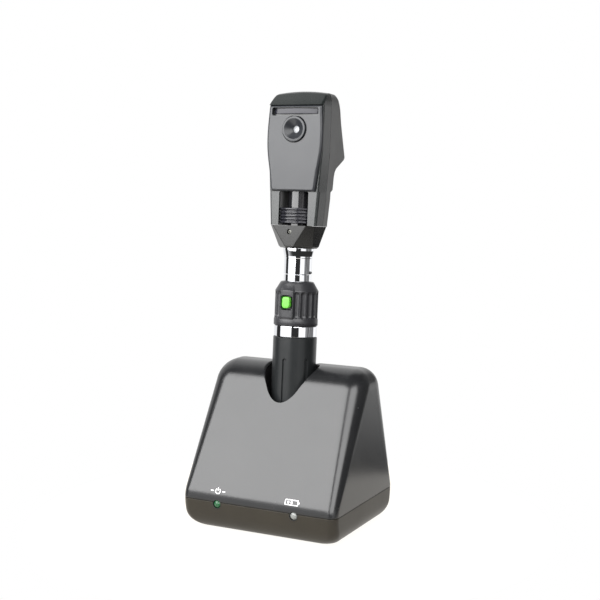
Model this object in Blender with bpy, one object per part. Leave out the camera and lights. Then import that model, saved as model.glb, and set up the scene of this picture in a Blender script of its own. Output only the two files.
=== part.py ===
"""Hand-held streak scope on a rechargeable handle, standing in a desk charger.

Units: dimensions below are millimetres, turned into metres when a mesh is made.
World: +Z up, the front (LED side) faces -Y, origin at the centre of the base.
The handset has its own axis S, leaning back by LEAN; its pieces are modelled
in (x, y, s) and parented to the empty handset_frame.
"""
import math
import bpy
import bmesh
from math import sin, cos, tan, pi, radians, sqrt
from mathutils import Matrix, Vector

MM = 0.001
GAP = 0.3                    # gap between touching pieces

# ---------------------------------------------------------------- stand
SEAM_Z = 21.5                # seam between cover and tray
BASE_HX = 57.95              # half width
BASE_HY = 49.1               # half depth at the seam
FRONT_SLOPE = radians(28.55)
REAR_SLOPE = radians(13.65)
TOP_R = 13.29                # rounding of the ridge
TOP_CZ = 95.83               # its centre height
TOP_CX = 44.66               # its centres left and right
TOP_CYF, TOP_CYR = 6.49, 17.34
SEAM_R = 6.2                 # vertical edge radius at the seam
WALL = 2.4
TRAY_Z0 = 1.0                # underside of the tray
TRAY_TAPER = 4.55
TRAY_ROUND = 9.5
FOOT_R, FOOT_X, FOOT_Y = 6.0, 34.5, 27.0
POST_X, POST_Y = 45.5, 24.0  # screw posts
LED_X, LED_Z, LED_R = 29.0, 19.8, 2.9
JACK_X, JACK_Z = 28.0, 12.6

# ---------------------------------------------------------------- handset
LEAN = 4.5                   # degrees
AXIS_Y0 = -1.4               # where the handset axis meets the base plane
WELL_DX, WELL_DY = -0.6, -0.7  # well axis beside and in front of the handset axis
WELL_R = 18.4
WELL_FLOOR = 19.2            # top of the well floor
HANDLE_S0, HANDLE_S1 = 20.0, 128.5
HANDLE_R, HANDLE_BORE = 15.0, 12.5
GROOVE_W, GROOVE_D, GROOVE_TOP = 3.6, 0.9, 115.0
RING_S0, RING_S1 = 136.3, 166.2
RING_R = 15.1
RING_BORE = 8.5
FLUTES = 24
BUTTON_S = 152.1
BUTTON_W, BUTTON_H = 7.8, 8.8
SPLIT_S = 171.0              # handle connector meets the head's neck
CONE_S0, CONE_S1 = 189.0, 204.0
BODY_S0 = 204.3
SHOULDER_S = 227.2
HEAD_TOP = 295.0
PLATE_Y0, PLATE_Y1 = -11.3, -13.6
PLATE_S0, PLATE_S1 = 227.4, 284.6
EYE_S = 268.7
SLEEVE_S0, SLEEVE_PITCH, SLEEVE_RIBS = 205.5, 2.24, 5
SLEEVE_R = 14.0
TUBE_R = 8.3
WINDOW_HX = 11.0


# ================================================================ helpers
def clear_scene():
    for o in list(bpy.data.objects):
        bpy.data.objects.remove(o, do_unlink=True)


MATS = {}


def material(name, color, rough, metal=0.0, alpha=1.0):
    m = bpy.data.materials.new(name)
    m.use_nodes = True
    b = m.node_tree.nodes["Principled BSDF"]
    b.inputs["Base Color"].default_value = (*color, 1.0)
    b.inputs["Roughness"].default_value = rough
    b.inputs["Metallic"].default_value = metal
    b.inputs["Alpha"].default_value = alpha
    m.diffuse_color = (*color, alpha)
    MATS[name] = m
    return m


FRAME = None


def place(bm, name, mat, handset=True, origin=(0, 0, 0), sharp=32):
    """Turn a bmesh in millimetres into an object with its origin at origin."""
    bmesh.ops.remove_doubles(bm, verts=bm.verts, dist=1e-5)
    bmesh.ops.dissolve_degenerate(bm, edges=bm.edges, dist=1e-6)
    bmesh.ops.recalc_face_normals(bm, faces=bm.faces)
    o = Vector(origin)
    for v in bm.verts:
        v.co = (v.co - o) * MM
    me = bpy.data.meshes.new(name)
    bm.to_mesh(me)
    bm.free()
    me.shade_smooth()
    me.set_sharp_from_angle(angle=radians(sharp))
    ob = bpy.data.objects.new(name, me)
    bpy.context.collection.objects.link(ob)
    ob.location = o * MM
    if handset:
        ob.parent = FRAME
    if mat:
        me.materials.append(mat)
    return ob


def spin_profile(points, n=32, closed=True, x0=0.0, y0=0.0):
    """Turn a profile of (radius, height) about the s axis."""
    bm = bmesh.new()
    vs = [bm.verts.new((r, 0.0, z)) for r, z in points]
    es = [bm.edges.new((a, b)) for a, b in zip(vs, vs[1:])]
    if closed:
        es.append(bm.edges.new((vs[-1], vs[0])))
    bmesh.ops.spin(bm, geom=vs + es, cent=(0, 0, 0), axis=(0, 0, 1), angle=2 * pi,
                   steps=n, use_merge=True, use_duplicate=False)
    bmesh.ops.remove_doubles(bm, verts=bm.verts, dist=1e-4)
    if x0 or y0:
        bmesh.ops.translate(bm, verts=bm.verts, vec=(x0, y0, 0))
    return bm


def solid(points, n=32, x0=0.0, y0=0.0):
    """A turned solid whose profile starts and ends on the axis."""
    return spin_profile([(0, points[0][1])] + points + [(0, points[-1][1])], n, False, x0, y0)


def tube(r_out, r_in, s0, s1, n=32):
    return spin_profile([(r_out, s0), (r_out, s1), (r_in, s1), (r_in, s0)], n, True)


def loft(loops, caps=True):
    bm = bmesh.new()
    rows = [[bm.verts.new(p) for p in lp] for lp in loops]
    n = len(rows[0])
    for a, b in zip(rows, rows[1:]):
        for i in range(n):
            j = (i + 1) % n
            bm.faces.new((a[i], a[j], b[j], b[i]))
    if caps:
        ends = [bm.faces.new(rows[0]), bm.faces.new(rows[-1])]
        bmesh.ops.triangulate(bm, faces=ends)
    return bm


def box(x0, x1, y0, y1, z0, z1):
    bm = bmesh.new()
    m = Matrix.Translation(((x0 + x1) / 2, (y0 + y1) / 2, (z0 + z1) / 2)) @ \
        Matrix.Diagonal((x1 - x0, y1 - y0, z1 - z0, 1))
    bmesh.ops.create_cube(bm, size=1.0, matrix=m)
    return bm


def rod(r, start, end, n=24, r2=None):
    """A cylinder or cone frustum between two points."""
    a, b = Vector(start), Vector(end)
    d = b - a
    bm = bmesh.new()
    q = d.to_track_quat("Z", "Y").to_matrix().to_4x4()
    bmesh.ops.create_cone(bm, cap_ends=True, segments=n, radius1=r,
                          radius2=r if r2 is None else r2, depth=d.length,
                          matrix=Matrix.Translation((a + b) / 2) @ q)
    return bm


def cutter(bm, name, handset=True):
    ob = place(bm, name, None, handset)
    ob.hide_render = True
    ob.display_type = "WIRE"
    return ob


def boolean(ob, other, op="DIFFERENCE"):
    m = ob.modifiers.new(other.name, "BOOLEAN")
    m.operation = op
    m.solver = "EXACT"
    m.object = other
    return ob


def coil(name, mat, radius, wire, s0, s1, turns, x=0.0, y=0.0, axis="S", per_turn=10):
    """A compression spring as a round wire swept along a helix."""
    cu = bpy.data.curves.new(name, "CURVE")
    cu.dimensions = "3D"
    cu.bevel_depth = wire / 2 * MM
    cu.bevel_resolution = 0
    cu.use_fill_caps = True
    sp = cu.splines.new("POLY")
    n = int(turns * per_turn)
    sp.points.add(n)
    h0, h1 = s0 + wire / 2, s1 - wire / 2
    for i in range(n + 1):
        a = 2 * pi * turns * i / n
        h = h0 + (h1 - h0) * i / n
        if axis == "S":
            p = (x + radius * cos(a), y + radius * sin(a), h)
        else:
            p = (x + radius * cos(a), h, y + radius * sin(a))
        sp.points[i].co = (p[0] * MM, p[1] * MM, p[2] * MM, 1)
    cu.materials.append(mat)
    ob = bpy.data.objects.new(name, cu)
    bpy.context.collection.objects.link(ob)
    ob.parent = FRAME
    return ob


# ================================================================ stand
def rounded_loop(hx, y0, y1, r, z, n=3):
    """A rounded rectangle at height z, from -hx to hx and from y0 to y1."""
    r = max(0.05, min(r, hx - 0.01, (y1 - y0) / 2 - 0.01))
    pts = []
    for cx, cy, a0 in ((hx - r, y1 - r, 0), (-hx + r, y1 - r, 90),
                       (-hx + r, y0 + r, 180), (hx - r, y0 + r, 270)):
        for i in range(n + 1):
            a = radians(a0 + 90 * i / n)
            pts.append((cx + r * cos(a), cy + r * sin(a), z))
    return pts


def cover_loop(z, off, n=3):
    """Section of the cover's wedge, moved inward by off."""
    R = TOP_R - off
    yf = -BASE_HY + (z - SEAM_Z) * tan(FRONT_SLOPE) + off / cos(FRONT_SLOPE)
    yr = BASE_HY - (z - SEAM_Z) * tan(REAR_SLOPE) - off / cos(REAR_SLOPE)
    if z <= TOP_CZ:
        t = max(0.0, (z - SEAM_Z) / (TOP_CZ - SEAM_Z))
        return rounded_loop(BASE_HX - off, yf, yr, (SEAM_R - off) * (1 - t) + R * t, z, n)
    rho = sqrt(max(1e-6, R * R - (z - TOP_CZ) ** 2))
    if z > TOP_CZ + R * sin(FRONT_SLOPE):
        yf = TOP_CYF - rho
    if z > TOP_CZ + R * sin(REAR_SLOPE):
        yr = TOP_CYR + rho
    return rounded_loop(TOP_CX + rho, yf, yr, rho, z, n)


def cover_levels(off, z0, steps):
    R = TOP_R - off
    return [z0, (z0 + TOP_CZ) / 2, TOP_CZ] + [TOP_CZ + R * sin(radians(a)) for a in steps]


def tray_loop(z, off, n=3):
    t = min(1.0, (SEAM_Z - z) / (SEAM_Z - TRAY_Z0 - TRAY_ROUND * 0.9))
    hy = BASE_HY - TRAY_TAPER * t - off
    hx = BASE_HX - 0.25 - off
    dz = max(0.0, TRAY_Z0 + TRAY_ROUND - z)
    R = TRAY_ROUND
    inset = R - sqrt(max(0.0, R * R - dz * dz)) if dz else 0.0
    hy, hx = hy - inset, hx - inset
    return rounded_loop(hx, -hy, hy, max(1.0, SEAM_R - off), z, n)


def stand(P):
    steps = (15, 30, 45, 60, 74, 88)
    # upper shell: outer wedge, hollowed by the same wedge moved inward
    shell = place(loft([cover_loop(z, 0) for z in cover_levels(0, SEAM_Z, steps)]),
                  "stand_cover", P["stand_black"], False)
    inner = cutter(loft([cover_loop(z, WALL) for z in
                         [SEAM_Z - 3] + cover_levels(WALL, SEAM_Z, (30, 60, 88))[1:]]),
                   "cut_cover_inside", False)
    boolean(shell, inner)
    outside = cutter(loft([cover_loop(z, 0.8) for z in
                           [SEAM_Z - 17] + cover_levels(0.8, SEAM_Z, (20, 45, 65, 88))[1:]]),
                     "keep_cover_outside", False)
    for i, (sx, sy) in enumerate(((-1, -1), (1, -1), (-1, 1), (1, 1))):
        post = cutter(rod(4.0, (sx * POST_X, sy * POST_Y, 6.6), (sx * POST_X, sy * POST_Y, 112.0), 8),
                      f"add_post_{i}", False)
        boolean(post, outside, "INTERSECT")
        boolean(shell, post, "UNION")
    for i, (sx, sy) in enumerate(((-1, -1), (1, -1), (-1, 1), (1, 1))):
        boolean(shell, cutter(rod(1.7, (sx * POST_X, sy * POST_Y, 6.0),
                                  (sx * POST_X, sy * POST_Y, 17.5), 8), f"cut_pilot_{i}", False))
    mouth = cutter(solid([(WELL_R, 60.0), (WELL_R, 130.0)], 40, WELL_DX, WELL_DY), "cut_mouth")
    boolean(shell, mouth)
    led_cut = [cutter(rod(LED_R + GAP, (sx * LED_X, -60, LED_Z), (sx * LED_X, -40, LED_Z), 20),
                      f"cut_led_{i}", False) for i, sx in enumerate((-1, 1))]
    for c in led_cut:
        boolean(shell, c)

    # lower tray: cup with posts for the board, countersunk screw holes and foot recesses
    zs = [SEAM_Z - GAP, 14.0, TRAY_Z0 + TRAY_ROUND] + \
         [TRAY_Z0 + TRAY_ROUND * (1 - sin(radians(a))) for a in (35, 65, 90)]
    tray = place(loft([tray_loop(z, 0) for z in zs]), "stand_tray", P["tray_black"], False)
    hollow = cutter(loft([tray_loop(z, 2.4) for z in (SEAM_Z + 2, 14.0, 10.5, 6.5, 4.6)]
                         + [rounded_loop(46.0, -33.6, 33.6, 3.0, 3.6)]), "cut_tray_inside", False)
    boolean(tray, hollow)
    for i, (sx, sy) in enumerate(((-1, -1), (1, -1), (-1, 1), (1, 1))):
        boolean(tray, cutter(rod(FOOT_R + GAP, (sx * FOOT_X, sy * FOOT_Y, 0),
                                 (sx * FOOT_X, sy * FOOT_Y, 2.3), 16), f"cut_foot_{i}", False))
        boolean(tray, cutter(rod(1.7, (sx * POST_X, sy * POST_Y, 0), (sx * POST_X, sy * POST_Y, 9), 8),
                             f"cut_shank_{i}", False))
        boolean(tray, cutter(rod(3.3, (sx * POST_X, sy * POST_Y, 0.0), (sx * POST_X, sy * POST_Y, 2.4), 12),
                             f"cut_head_{i}", False))
        boolean(tray, cutter(rod(2.2, (sx * 28.0, sy * 19.0, 3.0), (sx * 28.0, sy * 19.0, 5.7), 8),
                             f"add_board_post_{i}", False), "UNION")
        place(solid([(FOOT_R - 0.8, 0.0), (FOOT_R, 0.6), (FOOT_R, 2.0)], 18),
              f"foot_{i + 1}", P["rubber"], False).location = (sx * FOOT_X * MM, sy * FOOT_Y * MM, 0)
        place(spin_profile([(0, 1.6), (1.2, 1.6), (1.2, 1.2), (2.9, 1.2), (2.9, 2.1),
                            (1.4, 2.1), (1.4, 16.0), (0, 16.0)], 12, False),
              f"tray_screw_{i + 1}", P["screw_steel"], False).location = \
            (sx * POST_X * MM, sy * POST_Y * MM, 0)
    for c in led_cut:
        boolean(tray, c)
    boolean(tray, cutter(rod(4.3, (JACK_X, 30, JACK_Z), (JACK_X, 60, JACK_Z), 24), "cut_jack", False))

    # lights
    for name, sx, mat in (("power_led", -1, P["led_green"]), ("charge_led", 1, P["led_clear"])):
        bm = spin_profile([(0, 0), (LED_R, 0), (LED_R, 9.6), (2.5, 10.4), (1.5, 11.0), (0, 11.2)], 20, False)
        bmesh.ops.rotate(bm, verts=bm.verts, cent=(0, 0, 0), matrix=Matrix.Rotation(radians(90), 3, "X"))
        bmesh.ops.translate(bm, verts=bm.verts, vec=(sx * LED_X, -BASE_HY + 11.2, LED_Z))
        place(bm, name, mat, False)

    # well: tube with a floor, trimmed to the underside of the cover
    well = place(spin_profile([(0, WELL_FLOOR - 2.5), (WELL_R + 1.9, WELL_FLOOR - 2.5), (WELL_R + 1.9, 118.0),
                               (WELL_R, 118.0), (WELL_R, WELL_FLOOR), (0, WELL_FLOOR)], 32, False,
                              WELL_DX, WELL_DY), "well_liner", P["well_black"])
    boolean(well, cutter(loft([cover_loop(z, WALL + GAP) for z in
                               [SEAM_Z - 12] + cover_levels(WALL + GAP, SEAM_Z, (30, 60, 88))[1:]]),
                         "keep_well", False), "INTERSECT")
    boolean(well, cutter(rod(2.5, (0, 0, 10), (0, 0, 25), 16), "cut_well_contact"))
    place(tube(12.6, 9.0, WELL_FLOOR + GAP, WELL_FLOOR + 0.7, 20), "side_contact", P["brass"])

    # charging board with its transformer and capacitor
    board = place(box(-36, 36, -24, 24, 6.0, 7.6), "charge_board", P["board"], False)
    boolean(board, cutter(rod(4.2, (-26, 12, 7.2), (-26, 12, 15.5), 16), "add_capacitor", False), "UNION")
    boolean(board, cutter(box(-32, -20, -16, -4, 7.2, 14.0), "add_inductor", False), "UNION")

    # power inlet
    jack = place(box(JACK_X - 4.6, JACK_X + 4.6, 31.0, 41.6, JACK_Z - 4.6, JACK_Z + 5.0), "dc_socket",
                 P["jack_black"], False)
    boolean(jack, cutter(rod(4.0, (JACK_X, 36, JACK_Z), (JACK_X, 45.2, JACK_Z), 24), "add_jack_barrel", False),
            "UNION")
    boolean(jack, cutter(tube(2.8, 1.0, 0, 12, 20), "cut_jack_bore", False))
    bore = bpy.data.objects["cut_jack_bore"]
    bore.rotation_euler = (radians(-90), 0, 0)
    bore.location = (JACK_X * MM, 35.0 * MM, JACK_Z * MM)

    # sprung centre contact under the handle
    place(spin_profile([(0, 12.6), (3.4, 12.6), (3.4, 13.8), (1.9, 13.8), (1.9, 19.1), (1.2, 19.7), (0, 19.7)],
                       14, False), "contact_plunger", P["brass"])
    coil("plunger_spring", P["spring_steel"], 2.6, 0.6, 8.1, 12.3, 3.0)


# ================================================================ handle
def capsule(w, s0, s1, depth_from, depth_to, n=6):
    """A slot cutter with a round top, standing along -Y."""
    bm = bmesh.new()
    pts = [(-w / 2, s0), (w / 2, s0)]
    for i in range(n + 1):
        a = pi * i / n
        pts.append((w / 2 * cos(a), s1 - w / 2 + w / 2 * sin(a)))
    front = [bm.verts.new((x, depth_from, s)) for x, s in pts]
    back = [bm.verts.new((x, depth_to, s)) for x, s in pts]
    bm.faces.new(front)
    bm.faces.new(list(reversed(back)))
    for i in range(len(pts)):
        j = (i + 1) % len(pts)
        bm.faces.new((front[i], back[i], back[j], front[j]))
    return bm


def rounded_block(w, h, r, y0, y1, s, n=3):
    """A button-like block with rounded corners in the x-s plane."""
    pts = []
    for cx, cz, a0 in ((w / 2 - r, h / 2 - r, 0), (-w / 2 + r, h / 2 - r, 90),
                       (-w / 2 + r, -h / 2 + r, 180), (w / 2 - r, -h / 2 + r, 270)):
        for i in range(n + 1):
            a = radians(a0 + 90 * i / n)
            pts.append((cx + r * cos(a), cz + r * sin(a)))
    return loft([[(x, y0, s + z) for x, z in pts], [(x, y1, s + z) for x, z in pts]])


def fluted_ring():
    """Outer loops of the brightness ring: plain rim, flutes, top chamfer, front pad."""
    n = FLUTES * 2
    def loop(r, s, depth):
        pts = []
        for i in range(n):
            a = 2 * pi * i / n
            valley = i % 2
            front = abs((math.degrees(a) - 270 + 180) % 360 - 180) < 26
            d = depth if valley and not front else 0.0
            pts.append(((r - d) * cos(a), (r - d) * sin(a), s))
        return pts
    return [loop(RING_R, RING_S0, 0), loop(RING_R, 141.0, 0), loop(RING_R, 142.4, 0.9),
            loop(RING_R, 157.5, 0.9), loop(RING_R, 160.0, 0), loop(11.2, RING_S1 - 0.2, 0)]


def handle(P):
    tube_ob = place(tube(HANDLE_R, HANDLE_BORE, HANDLE_S0 + 3.5, HANDLE_S1, 36), "handle_tube",
                    P["handle_black"])
    for i in range(6):
        bm = capsule(GROOVE_W, 34.0, GROOVE_TOP, -HANDLE_R - 1, -HANDLE_R + GROOVE_D)
        bmesh.ops.rotate(bm, verts=bm.verts, cent=(0, 0, 0), matrix=Matrix.Rotation(radians(60 * i), 3, "Z"))
        boolean(tube_ob, cutter(bm, f"cut_groove_{i}"))

    # screwed bottom cap with the charging contact in an insulating collar
    place(spin_profile([(HANDLE_R - 1.0, HANDLE_S0), (HANDLE_R, HANDLE_S0 + 1.0), (HANDLE_R, HANDLE_S0 + 3.2),
                        (12.1, HANDLE_S0 + 3.2), (12.1, HANDLE_S0 + 9), (9.0, HANDLE_S0 + 9),
                        (9.0, HANDLE_S0 + 3), (4.1, HANDLE_S0 + 3), (4.1, HANDLE_S0)], 28), "end_cap",
          P["cap_black"])
    place(tube(3.8, 2.4, HANDLE_S0 + 0.1, HANDLE_S0 + 4.5, 20), "contact_insulator", P["nylon"])
    place(solid([(2.1, HANDLE_S0), (2.1, HANDLE_S0 + 4.8), (3.6, HANDLE_S0 + 4.8), (3.6, HANDLE_S0 + 5.4)], 20),
          "end_contact", P["brass"])
    coil("battery_spring", P["spring_steel"], 3.0, 0.8, HANDLE_S0 + 5.7, 36.5, 4.0)
    place(solid([(11.4, 36.8), (12.0, 37.4), (12.0, 107.4), (11.4, 108.0), (3.0, 108.0), (3.0, 109.5)], 22),
          "battery_cell", P["battery_blue"])

    # bright connector: flange in the tube, core through the ring, shoulder and bayonet lugs
    sock = place(spin_profile([(0, 121.0), (12.1, 121.0), (12.1, 123.0), (8.0, 123.0), (8.0, 166.5),
                               (9.1, 166.5), (9.1, SPLIT_S), (6.0, SPLIT_S), (6.0, 178.5), (0, 178.5)], 26, False),
                 "handle_socket", P["chrome"])
    boolean(sock, cutter(box(-7.0, 7.0, -1.6, 1.6, 175.6, 177.6), "add_lugs"), "UNION")
    boolean(sock, cutter(rod(3.2, (0, 0, 120), (0, 0, 180), 14), "cut_socket_bore"))
    place(tube(2.85, 2.2, 121.4, 178.0, 12), "rod_insulator", P["nylon"])
    place(solid([(2.8, 109.8), (2.8, 110.8), (1.9, 110.8), (1.9, 186.0)], 12), "contact_rod", P["brass"])

    place(tube(14.6, 8.4, HANDLE_S1 + GAP, 136.0, 32), "trim_ring", P["chrome"])
    place(tube(12.4, 9.8, 136.3, 137.1, 20), "rheostat_track", P["track"])

    # brightness ring with its front pad, button pocket and track recess
    ring = place(loft(fluted_ring()), "rheostat_ring", P["ring_black"])
    boolean(ring, cutter(rod(RING_BORE, (0, 0, 130), (0, 0, 170), 24), "cut_ring_bore"))
    boolean(ring, cutter(rod(13.0, (0, 0, 130), (0, 0, 139.4), 24), "cut_ring_recess"))
    boolean(ring, cutter(loft([[(x, y, s) for x, y in ((-5.6, -14.2), (5.6, -14.2), (5.6, -15.7), (-5.6, -15.7))]
                               for s in (141.5, 160.6)]), "add_pad"), "UNION")
    boolean(ring, cutter(rounded_block(BUTTON_W + 0.8, BUTTON_H + 0.8, 2.4, -20, -10.2, BUTTON_S),
                         "cut_button_pocket"))
    w = place(box(9.9, 12.2, -1.5, 1.5, 137.4, 139.1), "wiper", P["brass"])
    coil("button_spring", P["spring_steel"], 1.8, 0.45, -12.7, -10.5, 2.5, y=BUTTON_S, axis="Y", per_turn=8)
    place(rounded_block(BUTTON_W, BUTTON_H, 2.1, -16.3, -13.0, BUTTON_S), "lock_button", P["button_green"],
          origin=(0, -14.6, BUTTON_S))


# ================================================================ head
def cone_loop(outline, s):
    right = [(x, y, s) for x, y in outline]
    return right + [(-x, y, s) for x, y in reversed(outline)]


def half_loop(s, wp, wc, wface, y, cd, sign, n=2, g=0.15):
    """Section of one head shell: parting edge, side, rounded corner, face."""
    right = [(wp, sign * g, s)]
    for i in range(n + 1):
        a = pi / 2 * i / n
        right.append((wface + (wc - wface) * cos(a), y - sign * cd * (1 - sin(a)), s))
    left = [(-px, py, ps) for px, py, ps in reversed(right)]
    return right + left


FRONT_LEVELS = (   # s, half width at the parting line, at the corner, of the face, face y, corner depth
    (BODY_S0, 17.3, 17.3, 15.4, -10.6, 1.8), (223.0, 19.1, 18.6, 16.4, -10.6, 1.8),
    (227.0, 19.2, 18.8, 16.5, -10.6, 1.8), (SHOULDER_S + 0.1, 19.3, 18.4, 17.3, -11.0, 1.0),
    (238.0, 19.8, 19.1, 18.2, -11.0, 1.0), (255.0, 20.5, 20.4, 19.8, -11.0, 0.8),
    (284.6, 20.5, 20.4, 19.8, -11.0, 0.8), (284.9, 20.5, 20.3, 18.9, -13.6, 2.0),
    (289.5, 20.2, 20.0, 18.8, -8.8, 1.8), (292.5, 19.2, 19.0, 17.8, -5.6, 1.5),
    (295.4, 16.6, 16.4, 15.2, -2.6, 1.2))
REAR_LEVELS = (
    (BODY_S0, 17.3, 17.1, 15.3, 8.6, 1.8), (223.0, 19.1, 18.8, 17.0, 8.6, 1.8),
    (227.6, 19.2, 18.9, 17.1, 8.6, 1.8), (229.2, 19.3, 19.0, 17.4, 11.2, 1.6),
    (238.0, 19.8, 19.5, 17.9, 11.3, 1.6), (243.9, 20.1, 19.9, 18.3, 13.6, 1.6),
    (247.3, 20.2, 20.1, 18.5, 18.9, 1.6), (250.7, 20.4, 20.2, 18.6, 24.8, 1.6),
    (252.4, 20.5, 20.3, 18.7, 25.6, 1.6), (254.0, 20.5, 20.3, 18.7, 25.1, 1.6),
    (263.9, 20.5, 20.3, 18.7, 21.6, 1.6), (274.2, 20.5, 20.3, 18.7, 18.0, 1.6),
    (283.4, 20.5, 20.3, 18.7, 15.7, 1.6), (290.0, 20.2, 19.8, 17.8, 13.6, 2.0),
    (293.0, 19.2, 18.6, 16.4, 11.4, 2.2), (295.4, 16.6, 16.0, 13.8, 7.6, 2.2))


def inner_levels(levels, off, s_top):
    """The same shell moved inward, from the bulkhead to under the roof."""
    out = []
    for s, wp, wc, wf, y, cd in levels:
        if s < 230.0 or s > s_top:
            continue
        y2 = y + off if y < 0 else y - off
        out.append((s, wp - off, wc - off, wf - off, y2, cd * 0.6))
    first = list(out[0])
    first[0] = 230.0
    last = list(out[-1])
    last[0] = s_top
    if levels is FRONT_LEVELS:
        last[4] = -5.4
    return [tuple(first)] + out + [tuple(last)]


def plate_half_width(s):
    table = ((227.4, 16.6), (240.0, 18.2), (248.0, 19.6), (255.5, 20.6), (263.0, 20.9), (270.7, 20.7),
             (284.8, 19.7))
    for (a, wa), (b, wb) in zip(table, table[1:]):
        if s <= b:
            return wa + (wb - wa) * (s - a) / (b - a)
    return table[-1][1]


def head(P):
    # bright neck with the flared collar and the spigot inside the cone
    neck = place(spin_profile([(9.1, SPLIT_S + GAP), (9.1, 181.6), (9.5, 182.0), (10.5, 188.7), (8.6, 188.7),
                               (8.6, 202.5), (7.6, 202.5), (7.6, 184.5), (2.7, 184.5), (2.7, 182.5),
                               (7.6, 182.5), (7.6, SPLIT_S + GAP)], 24), "neck_tube", P["chrome"])
    boolean(neck, cutter(rod(1.1, (7, 0, 172.6), (12, 0, 172.6), 12), "cut_pin_hole"))
    boolean(neck, cutter(rod(1.3, (0, -12, 199.9), (0, -6, 199.9), 12), "cut_screw_hole"))
    place(rod(0.8, (7.8, 0, 172.6), (10.6, 0, 172.6), 12), "bayonet_pin", P["pin_black"])

    bottom = ((3.3, -13.7), (13.2, -4.2), (13.2, 4.2), (3.3, 12.0))
    top = ((12.6, -15.6), (16.6, -10.4), (17.4, 6.0), (12.6, 11.0))
    rim = tuple((x * 0.90, y * 0.90) for x, y in bottom)
    cone = place(loft([cone_loop(rim, CONE_S0), cone_loop(bottom, CONE_S0 + 1.2), cone_loop(top, CONE_S1)]),
                 "head_cone", P["head_black"])
    boolean(cone, cutter(rod(9.1, (0, 0, 180), (0, 0, 210), 24), "cut_cone_bore"))
    boolean(cone, cutter(rod(1.4, (0, -20, 199.9), (0, -6, 199.9), 12), "cut_cone_screw"))
    boolean(cone, cutter(rod(2.3, (0, -20, 199.9), (0, -12.9, 199.9), 16), "cut_cone_head"))
    bm = spin_profile([(0, 0.7), (0.7, 0.7), (0.7, 0), (1.7, 0), (2.0, 0.3), (2.0, 1.3), (1.05, 1.3),
                       (1.05, 6.6), (0, 6.6)], 16, False)
    bmesh.ops.rotate(bm, verts=bm.verts, cent=(0, 0, 0), matrix=Matrix.Rotation(radians(-90), 3, "X"))
    bmesh.ops.translate(bm, verts=bm.verts, vec=(0, -14.7, 199.9))
    place(bm, "neck_screw", P["screw_steel"])

    # head shells, split at y = 0
    roof = bmesh.new()
    arc = [(-24, 300.0)] + [(x, HEAD_TOP - 1.4 * (x / 18.8) ** 2) for x in range(-24, 25, 6)] + [(24, 300.0)]
    f = [roof.verts.new((x, -30, z)) for x, z in arc]
    b = [roof.verts.new((x, 30, z)) for x, z in arc]
    roof.faces.new(f)
    roof.faces.new(list(reversed(b)))
    for i in range(len(arc)):
        j = (i + 1) % len(arc)
        roof.faces.new((f[i], b[i], b[j], f[j]))
    roof_cut = cutter(roof, "cut_roof")
    lower_cut = cutter(solid([(14.6, 200.0), (14.6, SHOULDER_S)], 32), "cut_sleeve_room")
    window_cut = cutter(box(-WINDOW_HX, WINDOW_HX, -30, 30, 200.0, SHOULDER_S), "cut_window")
    neck_cut = cutter(rod(TUBE_R + 0.35, (0, 0, 226), (0, 0, 236), 24), "cut_bulkhead")
    shells = {}
    for name, levels, sign in (("front_shell", FRONT_LEVELS, -1), ("rear_shell", REAR_LEVELS, 1)):
        ob = place(loft([half_loop(*lv, sign) for lv in levels]), name, P["head_black"])
        inner = cutter(loft([half_loop(*lv, sign, g=-2.0) for lv in inner_levels(levels, 1.5, 291.0)]),
                       f"cut_{name}_inside")
        for c in (roof_cut, lower_cut, window_cut, neck_cut, inner):
            boolean(ob, c)
        shells[name] = ob
    bx, bs = 13.6, 236.0
    for i, sx in enumerate((-1, 1)):
        boolean(shells["front_shell"], cutter(rod(2.6, (sx * bx, -9.6, bs), (sx * bx, -0.15, bs), 12),
                                              f"add_boss_front_{i}"), "UNION")
        boolean(shells["front_shell"], cutter(rod(1.3, (sx * bx, -7.6, bs), (sx * bx, 2, bs), 10),
                                              f"cut_boss_front_{i}"))
        boolean(shells["rear_shell"], cutter(rod(2.9, (sx * bx, 0.15, bs), (sx * bx, 10.4, bs), 12),
                                             f"add_boss_rear_{i}"), "UNION")
        boolean(shells["rear_shell"], cutter(rod(1.3, (sx * bx, -2, bs), (sx * bx, 15, bs), 10),
                                             f"cut_boss_rear_{i}"))
        boolean(shells["rear_shell"], cutter(rod(2.1, (sx * bx, 9.7, bs), (sx * bx, 15, bs), 14),
                                             f"cut_boss_head_{i}"))
        bm = spin_profile([(0, 0.6), (0.7, 0.6), (0.7, 0), (1.6, 0), (1.8, 0.2), (1.8, 1.2), (1.0, 1.2),
                           (1.0, 16.6), (0, 16.6)], 12, False)
        bmesh.ops.rotate(bm, verts=bm.verts, cent=(0, 0, 0), matrix=Matrix.Rotation(radians(90), 3, "X"))
        bmesh.ops.translate(bm, verts=bm.verts, vec=(sx * bx, 11.2, bs))
        place(bm, f"shell_screw_{i + 1}", P["screw_steel"])

    # eyepiece bore through plate and shell, exit window on the hood's slanted rear face
    boolean(shells["front_shell"], cutter(rod(8.9, (0, -20, EYE_S), (0, -5, EYE_S), 28), "cut_eye_shell"))
    wn = Vector((0, cos(radians(19.3)), sin(radians(19.3))))
    wc = Vector((0, 19.92, 268.7))
    boolean(shells["rear_shell"], cutter(rod(7.0, wc - wn * 6, wc + wn * 4, 28), "cut_exit"))
    boolean(shells["rear_shell"], cutter(rod(8.4, wc - wn * 1.3, wc + wn * 4, 28), "cut_exit_seat"))
    place(rod(8.1, wc - wn * 1.0, wc - wn * 0.1, 28), "exit_window", P["glass"])

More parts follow.
